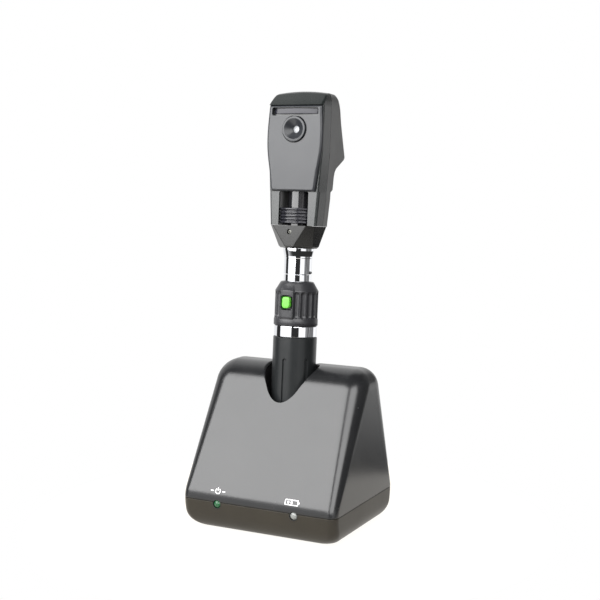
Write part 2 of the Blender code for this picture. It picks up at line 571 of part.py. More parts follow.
    # brow plate
    levels = [227.4, 240.0, 248.0, 255.5, 263.0, 270.7, 284.6]
    rows = [[(plate_half_width(s) * t, s) for t in (1, -1)] for s in levels]
    outline = [r[0] for r in rows] + [r[1] for r in reversed(rows)]
    plate = place(loft([[(x, PLATE_Y0, s) for x, s in outline],
                        [(x, PLATE_Y1 + 1.0, s) for x, s in outline],
                        [(x - math.copysign(0.9, x), PLATE_Y1, 256 + (s - 256) * 0.985) for x, s in outline]]),
                  "face_plate", P["plate_grey"])
    boolean(plate, cutter(rod(8.9, (0, -20, EYE_S), (0, -5, EYE_S), 28), "cut_eye_plate"))
    boolean(plate, cutter(rounded_block(34.8, 5.3, 1.2, -20, -11.9, 280.45), "cut_card_slot"))
    bar = []
    for s in (278.5, 282.8):
        pts = [(-16.9, -12.2)] + [(x, -12.2 - 0.95 * (1 - (abs(x) / 17.2) ** 4)) for x in
                                  (-16.9, -14, -10, -5, 0, 5, 10, 14, 16.9)][1:-1] + [(16.9, -12.2)]
        bar.append([(x, y, s) for x, y in pts])
    bm = bmesh.new()
    f = [[bm.verts.new(p) for p in row] for row in bar]
    bm.faces.new(f[0])
    bm.faces.new(list(reversed(f[1])))
    for i in range(len(f[0])):
        j = (i + 1) % len(f[0])
        bm.faces.new((f[0][i], f[0][j], f[1][j], f[1][i]))
    place(bm, "card_bar", P["bar_black"])

    # eyepiece ring with its conical recess, and the window behind the peephole
    bm = spin_profile([(8.6, 0), (8.1, -0.5 + 0.0), (7.3, -0.5), (2.1, 3.8), (2.1, 5.0), (3.6, 5.0), (3.6, 7.0),
                       (8.6, 7.0)], 24)
    bmesh.ops.rotate(bm, verts=bm.verts, cent=(0, 0, 0), matrix=Matrix.Rotation(radians(-90), 3, "X"))
    bmesh.ops.translate(bm, verts=bm.verts, vec=(0, -15.5, EYE_S))
    place(bm, "eyepiece_ring", P["head_black"])
    place(rod(3.3, (0, -10.2, EYE_S), (0, -9.2, EYE_S), 20), "eyepiece_glass", P["glass"])

    # half-silvered mirror at 45 degrees on its block, condenser lens under it
    m = place(box(-6.0, 6.0, -8.0, 8.0, -0.5, 0.5), "mirror", P["mirror"])
    m.location = (0, 2.0 * MM, 268.7 * MM)
    m.rotation_euler = (radians(45), 0, 0)
    mount = place(box(-10.5, 10.5, -7.0, 9.0, 257.2, 262.0), "mirror_mount", P["mount_black"])
    boolean(mount, cutter(rod(4.6, (0, 0, 250), (0, 0, 270), 24), "cut_mount_light"))
    boolean(mount, cutter(rod(6.7, (0, 0, 250), (0, 0, 260.2), 24), "cut_mount_lens"))
    for i, sx in enumerate((-1, 1)):
        cheek = bmesh.new()
        prof = ((-5.0, 261.5), (9.0, 261.5), (9.0, 274.6))
        a = [cheek.verts.new((sx * 6.4, y, s)) for y, s in prof]
        b = [cheek.verts.new((sx * 9.0, y, s)) for y, s in prof]
        cheek.faces.new(a)
        cheek.faces.new(list(reversed(b)))
        for k in range(3):
            l = (k + 1) % 3
            cheek.faces.new((a[k], b[k], b[l], a[l]))
        boolean(mount, cutter(cheek, f"add_cheek_{i}"), "UNION")
    place(spin_profile([(0, 257.5), (3.5, 257.7), (6.3, 258.6), (6.3, 259.8), (0, 259.9)], 24, False),
          "condenser_lens", P["glass"])

    # streak sleeve: collar that slides, tube with the ribbed ring, lamp holder and lamp
    collar = place(box(-10.3, 10.3, -9.1, 8.1, 230.6, 234.0), "slide_collar", P["nylon"])
    boolean(collar, cutter(rod(7.35, (0, 0, 228), (0, 0, 236), 26), "cut_collar"))
    place(spin_profile([(TUBE_R, 203.2), (TUBE_R, 229.9), (7.0, 229.9), (7.0, 245.0), (5.9, 245.0),
                        (5.9, 203.2)], 26), "slide_tube", P["tube_black"])
    prof = [(TUBE_R + 0.3, SLEEVE_S0), (SLEEVE_R - 0.9, SLEEVE_S0)]
    for i in range(SLEEVE_RIBS):
        s = SLEEVE_S0 + i * SLEEVE_PITCH
        prof += [(SLEEVE_R, s + 0.4), (SLEEVE_R, s + 1.3), (SLEEVE_R - 1.0, s + 1.6), (SLEEVE_R - 1.0, s + 2.24)]
    prof = prof[:-2] + [(TUBE_R + 0.3, SLEEVE_S0 + (SLEEVE_RIBS - 1) * SLEEVE_PITCH + 1.6)]
    place(spin_profile(prof, 22), "thumb_sleeve", P["sleeve_black"])
    place(solid([(5.6, 203.4), (5.6, 211.0), (3.4, 211.0), (3.4, 213.0)], 14), "bulb_socket", P["brass"])
    place(spin_profile([(0, 213.3), (2.6, 213.3), (2.9, 214.5), (2.9, 218.5), (2.0, 220.6), (0, 221.4)], 16, False),
          "bulb", P["glass"])
    coil("lamp_spring", P["spring_steel"], 2.6, 0.6, 186.3, 203.1, 5.0, per_turn=8)


def main():
    global FRAME
    clear_scene()
    FRAME = bpy.data.objects.new("handset_frame", None)
    bpy.context.collection.objects.link(FRAME)
    FRAME.location = (0, AXIS_Y0 * MM, 0)
    FRAME.rotation_euler = (-radians(LEAN), 0, 0)
    P = {
        "stand_black": material("stand_black", (0.055, 0.055, 0.058), 0.38),
        "tray_black": material("tray_black", (0.045, 0.042, 0.040), 0.45),
        "well_black": material("well_black", (0.02, 0.02, 0.02), 0.5),
        "rubber": material("rubber", (0.03, 0.03, 0.03), 0.8),
        "tube_black": material("tube_black", (0.03, 0.03, 0.032), 0.2),
        "screw_steel": material("screw_steel", (0.55, 0.55, 0.55), 0.3, 1.0),
        "led_green": material("led_green", (0.05, 0.45, 0.12), 0.15),
        "led_clear": material("led_clear", (0.6, 0.62, 0.6), 0.12),
        "brass": material("brass", (0.75, 0.58, 0.28), 0.3, 1.0),
        "spring_steel": material("spring_steel", (0.6, 0.6, 0.6), 0.3, 1.0),
        "board": material("board", (0.04, 0.22, 0.08), 0.5),
        "jack_black": material("jack_black", (0.02, 0.02, 0.02), 0.4),
        "handle_black": material("handle_black", (0.04, 0.04, 0.042), 0.42),
        "cap_black": material("cap_black", (0.035, 0.035, 0.037), 0.45),
        "nylon": material("nylon", (0.7, 0.7, 0.66), 0.5),
        "battery_blue": material("battery_blue", (0.05, 0.12, 0.35), 0.35),
        "chrome": material("chrome", (0.86, 0.87, 0.88), 0.08, 1.0),
        "track": material("track", (0.25, 0.22, 0.18), 0.5),
        "ring_black": material("ring_black", (0.04, 0.04, 0.042), 0.4),
        "button_green": material("button_green", (0.22, 0.85, 0.12), 0.3),
        "head_black": material("head_black", (0.06, 0.06, 0.063), 0.42),
        "plate_grey": material("plate_grey", (0.2, 0.21, 0.22), 0.4),
        "bar_black": material("bar_black", (0.06, 0.06, 0.065), 0.3),
        "mount_black": material("mount_black", (0.02, 0.02, 0.02), 0.6),
        "sleeve_black": material("sleeve_black", (0.03, 0.03, 0.035), 0.35),
        "pin_black": material("pin_black", (0.02, 0.02, 0.02), 0.4),
        "glass": material("glass", (0.85, 0.9, 0.9), 0.03, 0.0, 0.35),
        "mirror": material("mirror", (0.8, 0.82, 0.84), 0.02, 1.0),
    }
    stand(P)
    handle(P)
    head(P)


main()
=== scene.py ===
"""Looks of the streak scope in its charging stand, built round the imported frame.

Lengths are millimetres until a mesh is made. The handset's pieces are modelled
in (x, y, s) along its own leaning axis and turned into the row frame by HANDSET.
"""
import bpy
import bmesh
from math import sin, cos, tan, pi, radians, degrees, sqrt, atan2, hypot
from mathutils import Matrix, Vector


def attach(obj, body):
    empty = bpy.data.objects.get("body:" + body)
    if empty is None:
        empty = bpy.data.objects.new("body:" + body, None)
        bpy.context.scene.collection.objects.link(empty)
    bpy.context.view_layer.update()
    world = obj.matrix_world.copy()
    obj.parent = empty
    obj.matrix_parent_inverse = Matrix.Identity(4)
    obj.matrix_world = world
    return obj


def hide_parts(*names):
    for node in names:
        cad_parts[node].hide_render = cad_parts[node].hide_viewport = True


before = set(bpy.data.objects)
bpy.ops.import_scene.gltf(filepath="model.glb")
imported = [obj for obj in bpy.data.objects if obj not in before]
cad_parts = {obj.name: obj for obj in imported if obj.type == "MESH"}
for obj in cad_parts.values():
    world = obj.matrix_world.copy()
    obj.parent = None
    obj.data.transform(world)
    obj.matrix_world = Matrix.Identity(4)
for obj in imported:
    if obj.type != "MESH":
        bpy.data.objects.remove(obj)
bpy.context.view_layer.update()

MM = 0.001
LEAN = radians(4.5)
AXIS_Y0 = -1.4
HANDSET = Matrix.Translation((0, AXIS_Y0 * MM, 0)) @ Matrix.Rotation(-LEAN, 4, "X")


# ================================================================ materials
def put(nt, kind, inputs=None, **props):
    n = nt.nodes.new(kind)
    for k, v in props.items():
        setattr(n, k, v)
    for k, v in (inputs or {}).items():
        if isinstance(v, bpy.types.NodeSocket):
            nt.links.new(v, n.inputs[k])
        else:
            n.inputs[k].default_value = v
    return n


def calc(nt, op, a, b=0.0, c=0.0):
    n = put(nt, "ShaderNodeMath", operation=op)
    for i, v in enumerate((a, b, c)):
        if isinstance(v, bpy.types.NodeSocket):
            nt.links.new(v, n.inputs[i])
        else:
            n.inputs[i].default_value = v
    return n.outputs[0]


def remap(nt, v, a, b, c, d, smooth=False):
    n = put(nt, "ShaderNodeMapRange", {"Value": v, "From Min": a, "From Max": b, "To Min": c, "To Max": d})
    n.interpolation_type = "SMOOTHSTEP" if smooth else "LINEAR"
    return n.outputs["Result"]


def blend_rgb(nt, fac, a, b):
    n = put(nt, "ShaderNodeMix", data_type="RGBA")
    nt.links.new(fac, n.inputs["Factor"])
    for s, v in ((n.inputs[6], a), (n.inputs[7], b)):
        if isinstance(v, bpy.types.NodeSocket):
            nt.links.new(v, s)
        else:
            s.default_value = (*v, 1)
    return n.outputs[2]


def begin(name):
    m = bpy.data.materials.new(name)
    m.use_nodes = True
    nt = m.node_tree
    return m, nt, nt.nodes["Principled BSDF"], put(nt, "ShaderNodeTexCoord").outputs["Object"]


def moulded(name, dark, light, rough, spread=0.06, grain=0.35, height=0.012, ior=1.5, coat=0.0, wear=0.0):
    """Satin moulded or coated surface: pebbled grain, cloudy colour, rubbed patches, lint-like specks."""
    m, nt, b, obj = begin(name)
    cloud = put(nt, "ShaderNodeTexNoise", {"Vector": obj, "Scale": 55.0, "Detail": 4.0, "Roughness": 0.55})
    fine = put(nt, "ShaderNodeTexNoise", {"Vector": obj, "Scale": 1000.0 / grain, "Detail": 3.0, "Roughness": 0.6})
    pebble = put(nt, "ShaderNodeTexVoronoi", {"Vector": obj, "Scale": 1000.0 / (grain * 1.8)})
    rub = put(nt, "ShaderNodeTexNoise", {"Vector": obj, "Scale": 24.0, "Detail": 6.0, "Roughness": 0.7, "Distortion": 0.6})
    speck = put(nt, "ShaderNodeTexNoise", {"Vector": obj, "Scale": 420.0, "Detail": 1.0})
    base = blend_rgb(nt, remap(nt, cloud.outputs["Fac"], 0.3, 0.7, 0, 1), dark, light)
    dust = remap(nt, speck.outputs["Fac"], 0.70, 0.80, 0.0, 0.30)
    nt.links.new(blend_rgb(nt, dust, base, tuple(min(1, 1.25 * v + 0.002) for v in light)), b.inputs["Base Color"])
    r = remap(nt, rub.outputs["Fac"], 0.3, 0.7, rough - spread, rough + spread)
    r = calc(nt, "ADD", r, calc(nt, "MULTIPLY", dust, 0.12))
    r = calc(nt, "ADD", r, remap(nt, fine.outputs["Fac"], 0.3, 0.7, -0.02, 0.02))
    nt.links.new(r, b.inputs["Roughness"])
    h = calc(nt, "ADD", calc(nt, "MULTIPLY", fine.outputs["Fac"], 0.6),
             calc(nt, "MULTIPLY", pebble.outputs["Distance"], 0.5))
    bump = put(nt, "ShaderNodeBump", {"Height": h, "Strength": 1.0, "Distance": height * MM})
    nt.links.new(bump.outputs["Normal"], b.inputs["Normal"])
    b.inputs["IOR"].default_value = ior
    b.inputs["Coat Weight"].default_value = coat
    b.inputs["Coat Roughness"].default_value = 0.12
    return m


def turned(name, tint, rough, lines=0.0015, smudge=0.04, metal=1.0):
    """Polished or plated turned metal: fine rings along the handset axis and faint smudges."""
    m, nt, b, obj = begin(name)
    lean = put(nt, "ShaderNodeMapping", {"Vector": obj, "Rotation": (LEAN, 0, 0)})
    flat = put(nt, "ShaderNodeMapping", {"Vector": lean.outputs["Vector"], "Scale": (40, 40, 9000)})
    rings = put(nt, "ShaderNodeTexNoise", {"Vector": flat.outputs["Vector"], "Scale": 1.0, "Detail": 2.0})
    cloud = put(nt, "ShaderNodeTexNoise", {"Vector": obj, "Scale": 130.0, "Detail": 5.0, "Roughness": 0.65})
    r = remap(nt, cloud.outputs["Fac"], 0.35, 0.75, rough, rough + smudge)
    nt.links.new(r, b.inputs["Roughness"])
    nt.links.new(blend_rgb(nt, remap(nt, cloud.outputs["Fac"], 0.3, 0.8, 0, 1), tint,
                           tuple(0.93 * v for v in tint)), b.inputs["Base Color"])
    bump = put(nt, "ShaderNodeBump", {"Height": rings.outputs["Fac"], "Strength": 1.0, "Distance": lines * MM})
    nt.links.new(bump.outputs["Normal"], b.inputs["Normal"])
    b.inputs["Metallic"].default_value = metal
    return m


def clear(name, tint, rough=0.02, glow=None, density=0.0):
    """Glass or cast epoxy, with a faint haze."""
    m, nt, b, obj = begin(name)
    haze = put(nt, "ShaderNodeTexNoise", {"Vector": obj, "Scale": 700.0, "Detail": 3.0})
    nt.links.new(remap(nt, haze.outputs["Fac"], 0.3, 0.8, rough, rough + 0.05), b.inputs["Roughness"])
    nt.links.new(blend_rgb(nt, haze.outputs["Fac"], tint, tuple(0.9 * v for v in tint)), b.inputs["Base Color"])
    b.inputs["Transmission Weight"].default_value = 1.0 - density
    b.inputs["IOR"].default_value = 1.5
    # glow gives emission: a lit LED, and painted light where the glass is no lamp
    if glow:
        b.inputs["Emission Color"].default_value = (*glow[:3], 1)
        b.inputs["Emission Strength"].default_value = glow[3]
    return m


def board_look():
    """Solder mask with copper tracks showing through and pads."""
    m, nt, b, obj = begin("board_look")
    brick = put(nt, "ShaderNodeTexBrick", {"Vector": obj, "Scale": 180.0, "Mortar Size": 0.03,
                                           "Color1": (0.02, 0.16, 0.06, 1), "Color2": (0.03, 0.22, 0.08, 1),
                                           "Mortar": (0.30, 0.42, 0.16, 1)})
    grain = put(nt, "ShaderNodeTexNoise", {"Vector": obj, "Scale": 900.0, "Detail": 2.0})
    nt.links.new(blend_rgb(nt, remap(nt, grain.outputs["Fac"], 0.4, 0.7, 0, 0.3), brick.outputs["Color"],
                           (0.02, 0.10, 0.04)), b.inputs["Base Color"])
    nt.links.new(remap(nt, grain.outputs["Fac"], 0.3, 0.7, 0.3, 0.5), b.inputs["Roughness"])
    bump = put(nt, "ShaderNodeBump", {"Height": brick.outputs["Fac"], "Distance": 0.00003})
    nt.links.new(bump.outputs["Normal"], b.inputs["Normal"])
    return m


M = {
    "cover": moulded("cover_satin", (0.0075, 0.0078, 0.0085), (0.0100, 0.0102, 0.0108), 0.235, 0.03, 0.45, 0.0035),
    # the tray is black plastic; its warm brown tint is painted reflection of the brown floor
    "tray": moulded("tray_satin_painted_reflection", (0.017, 0.0145, 0.0105), (0.021, 0.018, 0.013), 0.36, 0.03, 0.45, 0.005, ior=1.34),
    "well": moulded("well_matt", (0.003, 0.003, 0.003), (0.006, 0.006, 0.006), 0.60, 0.06, 0.40, 0.012),
    "rubber": moulded("foot_rubber", (0.018, 0.018, 0.018), (0.028, 0.028, 0.027), 0.85, 0.06, 0.25, 0.020),
    "handle": moulded("handle_coat", (0.0075, 0.0085, 0.0090), (0.0105, 0.0115, 0.0120), 0.30, 0.04, 0.22, 0.006, ior=1.38),
    "ring": moulded("ring_satin", (0.012, 0.012, 0.014), (0.017, 0.017, 0.019), 0.36, 0.05, 0.25, 0.006, ior=1.46),
    "head": moulded("head_satin", (0.0090, 0.0110, 0.0108), (0.0120, 0.0140, 0.0132), 0.26, 0.04, 0.30, 0.005, ior=1.48),
    "rear": moulded("rear_satin", (0.030, 0.030, 0.029), (0.036, 0.036, 0.035), 0.36, 0.04, 0.30, 0.006),
    "cone": moulded("cone_satin", (0.0095, 0.0095, 0.0090), (0.0125, 0.0125, 0.0120), 0.30, 0.04, 0.30, 0.006),
    "plate": moulded("plate_satin", (0.012, 0.0130, 0.0155), (0.016, 0.0170, 0.0195), 0.34, 0.03, 0.22, 0.004, ior=1.45),
    "bar": moulded("bar_satin", (0.009, 0.009, 0.014), (0.013, 0.013, 0.018), 0.24, 0.03, 0.25, 0.003, ior=1.36),
    "sleeve": moulded("sleeve_satin", (0.010, 0.010, 0.013), (0.014, 0.014, 0.018), 0.26, 0.05, 0.25, 0.006),
    "pin": moulded("pin_black", (0.004, 0.004, 0.004), (0.008, 0.008, 0.008), 0.40, 0.05, 0.20, 0.006),
    "inner": moulded("inner_matt", (0.003, 0.003, 0.003), (0.006, 0.006, 0.006), 0.65, 0.06, 0.30, 0.010),
    "green": moulded("button_green", (0.078, 0.32, 0.026), (0.100, 0.37, 0.038), 0.45, 0.05, 0.25, 0.006),
    # darkened copy of the button green: painted shade in the recess round the lock button
    "pocket_shade": moulded("pocket_shade_green", (0.004, 0.050, 0.004), (0.008, 0.070, 0.008), 0.50, 0.05, 0.25, 0.006),
    "jack": moulded("jack_black", (0.012, 0.012, 0.012), (0.020, 0.020, 0.020), 0.40, 0.05, 0.25, 0.008),
    "nylon": moulded("nylon_natural", (0.58, 0.57, 0.52), (0.70, 0.69, 0.64), 0.45, 0.05, 0.30, 0.006),
    "track": moulded("track_carbon", (0.05, 0.04, 0.035), (0.09, 0.075, 0.06), 0.50, 0.08, 0.20, 0.008),
    "battery": moulded("battery_wrap", (0.03, 0.08, 0.26), (0.05, 0.12, 0.34), 0.28, 0.04, 0.50, 0.006, coat=0.3),
    "ink": moulded("print_ink", (0.78, 0.78, 0.78), (0.90, 0.90, 0.90), 0.45, 0.05, 0.15, 0.004),
    "chrome": turned("bright_chrome", (0.88, 0.89, 0.92), 0.045, 0.0006, 0.03),
    "guide": moulded("guide_tube", (0.008, 0.008, 0.009), (0.011, 0.011, 0.012), 0.17, 0.04, 0.30, 0.003),
    "steel": turned("screw_steel", (0.60, 0.60, 0.60), 0.24, 0.003, 0.10),
    "oxide": turned("black_oxide", (0.11, 0.11, 0.10), 0.34, 0.002, 0.10),
    "spring": turned("spring_steel", (0.58, 0.58, 0.60), 0.22, 0.002, 0.10),
    "brass": turned("turned_brass", (0.78, 0.58, 0.26), 0.20, 0.003, 0.12),
    "mirror": turned("half_silver", (0.85, 0.87, 0.90), 0.012, 0.0002, 0.01),
    "glass": clear("optic_glass", (0.96, 0.98, 0.97), 0.01),
    # eyepiece glass glows: painted light standing in for the bright peephole
    "peep": clear("peep_glass_painted_glow", (0.20, 0.21, 0.22), 0.25, (0.92, 0.93, 0.95, 0.45), 0.80),
    "led_green": clear("led_green", (0.02, 0.13, 0.05), 0.10, (0.03, 0.30, 0.08, 0.03), 0.45),
    "led_clear": clear("led_clear", (0.24, 0.25, 0.24), 0.20, None, 0.70),
    "board": board_look(),
}


# ================================================================ mesh helpers
TOOLS = []


def raw(bm, name, handset=True):
    """A bmesh in millimetres as an object in the row frame."""
    bmesh.ops.remove_doubles(bm, verts=bm.verts, dist=1e-4)
    bmesh.ops.recalc_face_normals(bm, faces=bm.faces)
    for v in bm.verts:
        v.co = (HANDSET @ (v.co * MM)) if handset else v.co * MM
    me = bpy.data.meshes.new(name)
    bm.to_mesh(me)
    bm.free()
    ob = bpy.data.objects.new(name, me)
    bpy.context.scene.collection.objects.link(ob)
    return ob


def cut(ob, bm, op="DIFFERENCE", handset=True):
    tool = raw(bm, "tool", handset)
    TOOLS.append(tool)
    m = ob.modifiers.new("bool", "BOOLEAN")
    m.operation, m.solver, m.object = op, "EXACT", tool
    return ob


def round_edges(bm, test, width, segments=3):
    """Bevels the edges of a bmesh whose two ends pass the test."""
    bm.edges.ensure_lookup_table()
    es = [e for e in bm.edges if test(e.verts[0].co, e.verts[1].co)]
    bmesh.ops.bevel(bm, geom=es, offset=width, segments=segments, profile=0.5, affect="EDGES", clamp_overlap=True)
    return bm


def bevel(ob, width, angle=28, segments=3):
    m = ob.modifiers.new("bevel", "BEVEL")
    m.width, m.segments, m.limit_method = width * MM, segments, "ANGLE"
    m.angle_limit = radians(angle)
    m.profile = 0.5
    return ob


def done(ob, mats, body, *nodes, slot=None, sharp=32, pick=None):
    """Applies the modifiers, sets the finish, and puts the piece on its body."""
    dg = bpy.context.evaluated_depsgraph_get()
    dg.update()
    me = bpy.data.meshes.new_from_object(ob.evaluated_get(dg))
    ob.modifiers.clear()
    ob.data = me
    me.name = ob.name
    while TOOLS:
        bpy.data.objects.remove(TOOLS.pop(), do_unlink=True)
    me.materials.clear()
    for m in mats if isinstance(mats, (list, tuple)) else [mats]:
        me.materials.append(M[m])
    idx = [0] * len(me.polygons)
    if pick:
        inv = HANDSET.inverted()
        idx = [pick(inv @ p.center / MM, p.center / MM) for p in me.polygons]
    me.polygons.foreach_set("material_index", idx)
    me.shade_smooth()
    me.set_sharp_from_angle(angle=radians(sharp))
    w = ob.modifiers.new("even", "WEIGHTED_NORMAL")
    w.keep_sharp = True
    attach(ob, body)
    if nodes:
        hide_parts(*nodes)
    return ob


def soft(points, r=0.25, n=3, closed=False):
    """A profile with its corners rounded."""
    out, m = [], len(points)
    for i, p in enumerate(points):
        if not closed and i in (0, m - 1):
            out.append(tuple(p))
            continue
        b = Vector(p)
        u, v = Vector(points[i - 1]) - b, Vector(points[(i + 1) % m]) - b
        if u.length < 1e-6 or v.length < 1e-6 or u.angle(v) > radians(172):
            out.append(tuple(p))
            continue
        t = min(r / tan(u.angle(v) / 2), u.length * 0.45, v.length * 0.45)
        p0, p1 = b + u.normalized() * t, b + v.normalized() * t
        for k in range(n + 1):
            w = k / n
            out.append(tuple((1 - w) ** 2 * p0 + 2 * w * (1 - w) * b + w * w * p1))
    return out


def lathe(points, n=96, closed=True):
    """Turns (radius, height) about the s axis."""
    bm = bmesh.new()
    rows = []
    for r, z in points:
        if r < 1e-6:
            rows.append([bm.verts.new((0, 0, z))])
        else:
            rows.append([bm.verts.new((r * cos(2 * pi * i / n), r * sin(2 * pi * i / n), z)) for i in range(n)])
    pairs = list(zip(rows, rows[1:])) + ([(rows[-1], rows[0])] if closed else [])
    for a, b in pairs:
        for i in range(n):
            j = (i + 1) % n
            f = [a[i % len(a)], a[j % len(a)], b[j % len(b)], b[i % len(b)]]
            f = [v for k, v in enumerate(f) if v not in f[:k]]
            if len(f) > 2:
                bm.faces.new(f)
    return bm


def ring_of(r_out, r_in, s0, s1, r=0.3, n=96):
    return lathe(soft([(r_out, s0), (r_out, s1), (r_in, s1), (r_in, s0)], r, 3, True), n)


def peg(points, n=64, r=0.2):
    """A turned solid: its profile starts and ends on the axis."""
    return lathe(soft([(0, points[0][1])] + points + [(0, points[-1][1])], r, 3), n, False)


def turn(bm, angle, axis, at=(0, 0, 0)):
    bmesh.ops.rotate(bm, verts=bm.verts, cent=(0, 0, 0), matrix=Matrix.Rotation(radians(angle), 3, axis))
    bmesh.ops.translate(bm, verts=bm.verts, vec=at)
    return bm


def loft(loops, caps=True, ring=False):
    bm = bmesh.new()
    rows = [[bm.verts.new(p) for p in lp] for lp in loops]
    n = len(rows[0])
    for a, b in list(zip(rows, rows[1:])) + ([(rows[-1], rows[0])] if ring else []):
        for i in range(n):
            j = (i + 1) % n
            bm.faces.new((a[i], a[j], b[j], b[i]))
    if caps and not ring:
        bmesh.ops.triangulate(bm, faces=[bm.faces.new(rows[0]), bm.faces.new(rows[-1])])
    return bm


def slab(outline, y0, y1):
    """An outline of (x, s) points given depth in y."""
    return loft([[(x, y0, s) for x, s in outline], [(x, y1, s) for x, s in outline]])


def box(x0, x1, y0, y1, z0, z1):
    bm = bmesh.new()
    bmesh.ops.create_cube(bm, size=1.0, matrix=Matrix.Translation(((x0 + x1) / 2, (y0 + y1) / 2, (z0 + z1) / 2))
                          @ Matrix.Diagonal((x1 - x0, y1 - y0, z1 - z0, 1)))
    return bm


def rod(r, start, end, n=48, r2=None):
    a, b = Vector(start), Vector(end)
    d = b - a
    bm = bmesh.new()
    bmesh.ops.create_cone(bm, cap_ends=True, segments=n, radius1=r, radius2=r if r2 is None else r2,
                          depth=d.length, matrix=Matrix.Translation((a + b) / 2)
                          @ d.to_track_quat("Z", "Y").to_matrix().to_4x4())
    return bm


def rounded_rect(w, h, r, cx=0.0, cz=0.0, n=8):
    pts = []
    for sx, sz, a0 in ((1, 1, 0), (-1, 1, 90), (-1, -1, 180), (1, -1, 270)):
        for i in range(n + 1):
            a = radians(a0 + 90 * i / n)
            pts.append((cx + sx * (w / 2 - r) + r * cos(a), cz + sz * (h / 2 - r) + r * sin(a)))
    return pts


def step(x, a, b):
    t = max(0.0, min(1.0, (x - a) / (b - a)))
    return t * t * (3 - 2 * t)


# ================================================================ stand
SEAM_Z, BASE_HX, BASE_HY = 21.5, 57.5, 49.1
FRONT_SLOPE, REAR_SLOPE = radians(28.55), radians(13.65)
TOP_R, TOP_CZ, TOP_CX, TOP_CYF, TOP_CYR = 13.29, 95.83, 44.21, 6.49, 17.34
SEAM_R, WALL, SKIRT_R = 6.2, 2.4, 16.0
FRONT_C = -BASE_HY + SKIRT_R / cos(FRONT_SLOPE)      # centres of the skirt's roundings
REAR_C = BASE_HY - SKIRT_R / cos(REAR_SLOPE)
WELL_DX, WELL_DY, WELL_R, WELL_FLOOR = -0.6, -0.5, 18.55, 19.2
LIP, LED_Z, LED_R = 1.5, 19.9, 2.75


# the ridge's front rounding is larger than its rear and end roundings
BROW_R = 24.0
BROW_CZ = TOP_CZ + TOP_R - BROW_R
BROW_CY = -BASE_HY + (BROW_CZ - SEAM_Z) * tan(FRONT_SLOPE) + BROW_R / cos(FRONT_SLOPE)


def loop_xy(hx, y0, y1, r, z, n=8, mx=26, my=18):
    """A rounded rectangle with its straight sides subdivided."""
    r = max(0.05, min(r, hx - 0.01, (y1 - y0) / 2 - 0.01))
    pts = []
    for cx, cy, a0, m in ((hx - r, y1 - r, 0, mx), (-hx + r, y1 - r, 90, my),
                          (-hx + r, y0 + r, 180, mx), (hx - r, y0 + r, 270, my)):
        arc = [(cx + r * cos(radians(a0 + 90 * i / n)), cy + r * sin(radians(a0 + 90 * i / n))) for i in range(n + 1)]
        pts += arc
        end = arc[-1]
        if a0 in (0, 180):
            far = (-end[0], end[1])
        else:
            far = (end[0], (y0 + r) if a0 == 90 else (y1 - r))
        pts += [(end[0] + (far[0] - end[0]) * k / m, end[1] + (far[1] - end[1]) * k / m) for k in range(1, m)]
    return [(x, y, z) for x, y in pts]


def front_y(z, off=0.0):
    rr = SKIRT_R - off
    if z < SEAM_Z:
        return FRONT_C - rr
    if z < SEAM_Z + rr * sin(FRONT_SLOPE):
        return FRONT_C - sqrt(rr * rr - (z - SEAM_Z) ** 2)
    return -BASE_HY + (z - SEAM_Z) * tan(FRONT_SLOPE) + off / cos(FRONT_SLOPE)


def rear_y(z, off=0.0):
    rr = SKIRT_R - off
    if z < SEAM_Z:
        return REAR_C + rr
    if z < SEAM_Z + rr * sin(REAR_SLOPE):
        return REAR_C + sqrt(rr * rr - (z - SEAM_Z) ** 2)
    return BASE_HY - (z - SEAM_Z) * tan(REAR_SLOPE) - off / cos(REAR_SLOPE)


def cover_loop(z, off, **kw):
    R = TOP_R - off
    yf, yr = front_y(z, off), rear_y(z, off)
    if z <= TOP_CZ:
        t = max(0.0, (z - SEAM_Z) / (TOP_CZ - SEAM_Z))
        return loop_xy(BASE_HX - off, yf, yr, (SEAM_R - off) * (1 - t) + R * t, z, **kw)
    rho = sqrt(max(1e-4, R * R - (z - TOP_CZ) ** 2))
    big = BROW_R - off
    if z > BROW_CZ + big * sin(FRONT_SLOPE):
        yf = BROW_CY - sqrt(max(1e-4, big * big - (z - BROW_CZ) ** 2))
    if z > TOP_CZ + R * sin(REAR_SLOPE):
        yr = TOP_CYR + rho
    return loop_xy(TOP_CX + rho, yf, yr, rho, z, **kw)


def levels(off, z0, fine=True):
    R = TOP_R - off
    zs = [z0] + [SEAM_Z + 8.0 * i / 8 for i in range(1, 9)] if fine else [z0, SEAM_Z + 8]
    k = 24 if fine else 5
    zs += [SEAM_Z + 8 + (TOP_CZ - SEAM_Z - 8) * i / k for i in range(1, k + 1)]
    steps = [3 * i for i in range(1, 30)] + [88.5] if fine else [15, 30, 45, 60, 75, 86]
    return zs + [TOP_CZ + R * sin(radians(a)) for a in steps]


def surface_s(r, a):
    """Height along the handset axis where a line beside it leaves the cover."""
    x, y = WELL_DX + r * cos(a), WELL_DY + r * sin(a)
    lo, hi = 40.0, 135.0
    for _ in range(40):
        s = (lo + hi) / 2
        wy, wz = AXIS_Y0 + y * cos(LEAN) + s * sin(LEAN), -y * sin(LEAN) + s * cos(LEAN)
        if wy < BROW_CY - BROW_R * cos(FRONT_SLOPE):
            top = SEAM_Z + (wy + BASE_HY) / tan(FRONT_SLOPE)
        elif wy > TOP_CYR + TOP_R * cos(REAR_SLOPE):
            top = SEAM_Z + (BASE_HY - wy) / tan(REAR_SLOPE)
        elif wy < BROW_CY:
            top = BROW_CZ + sqrt(BROW_R ** 2 - (wy - BROW_CY) ** 2)
        else:
            top = TOP_CZ + sqrt(TOP_R ** 2 - max(0, wy - TOP_CYR) ** 2)
        if wz < top:
            lo = s
        else:
            hi = s
    return lo


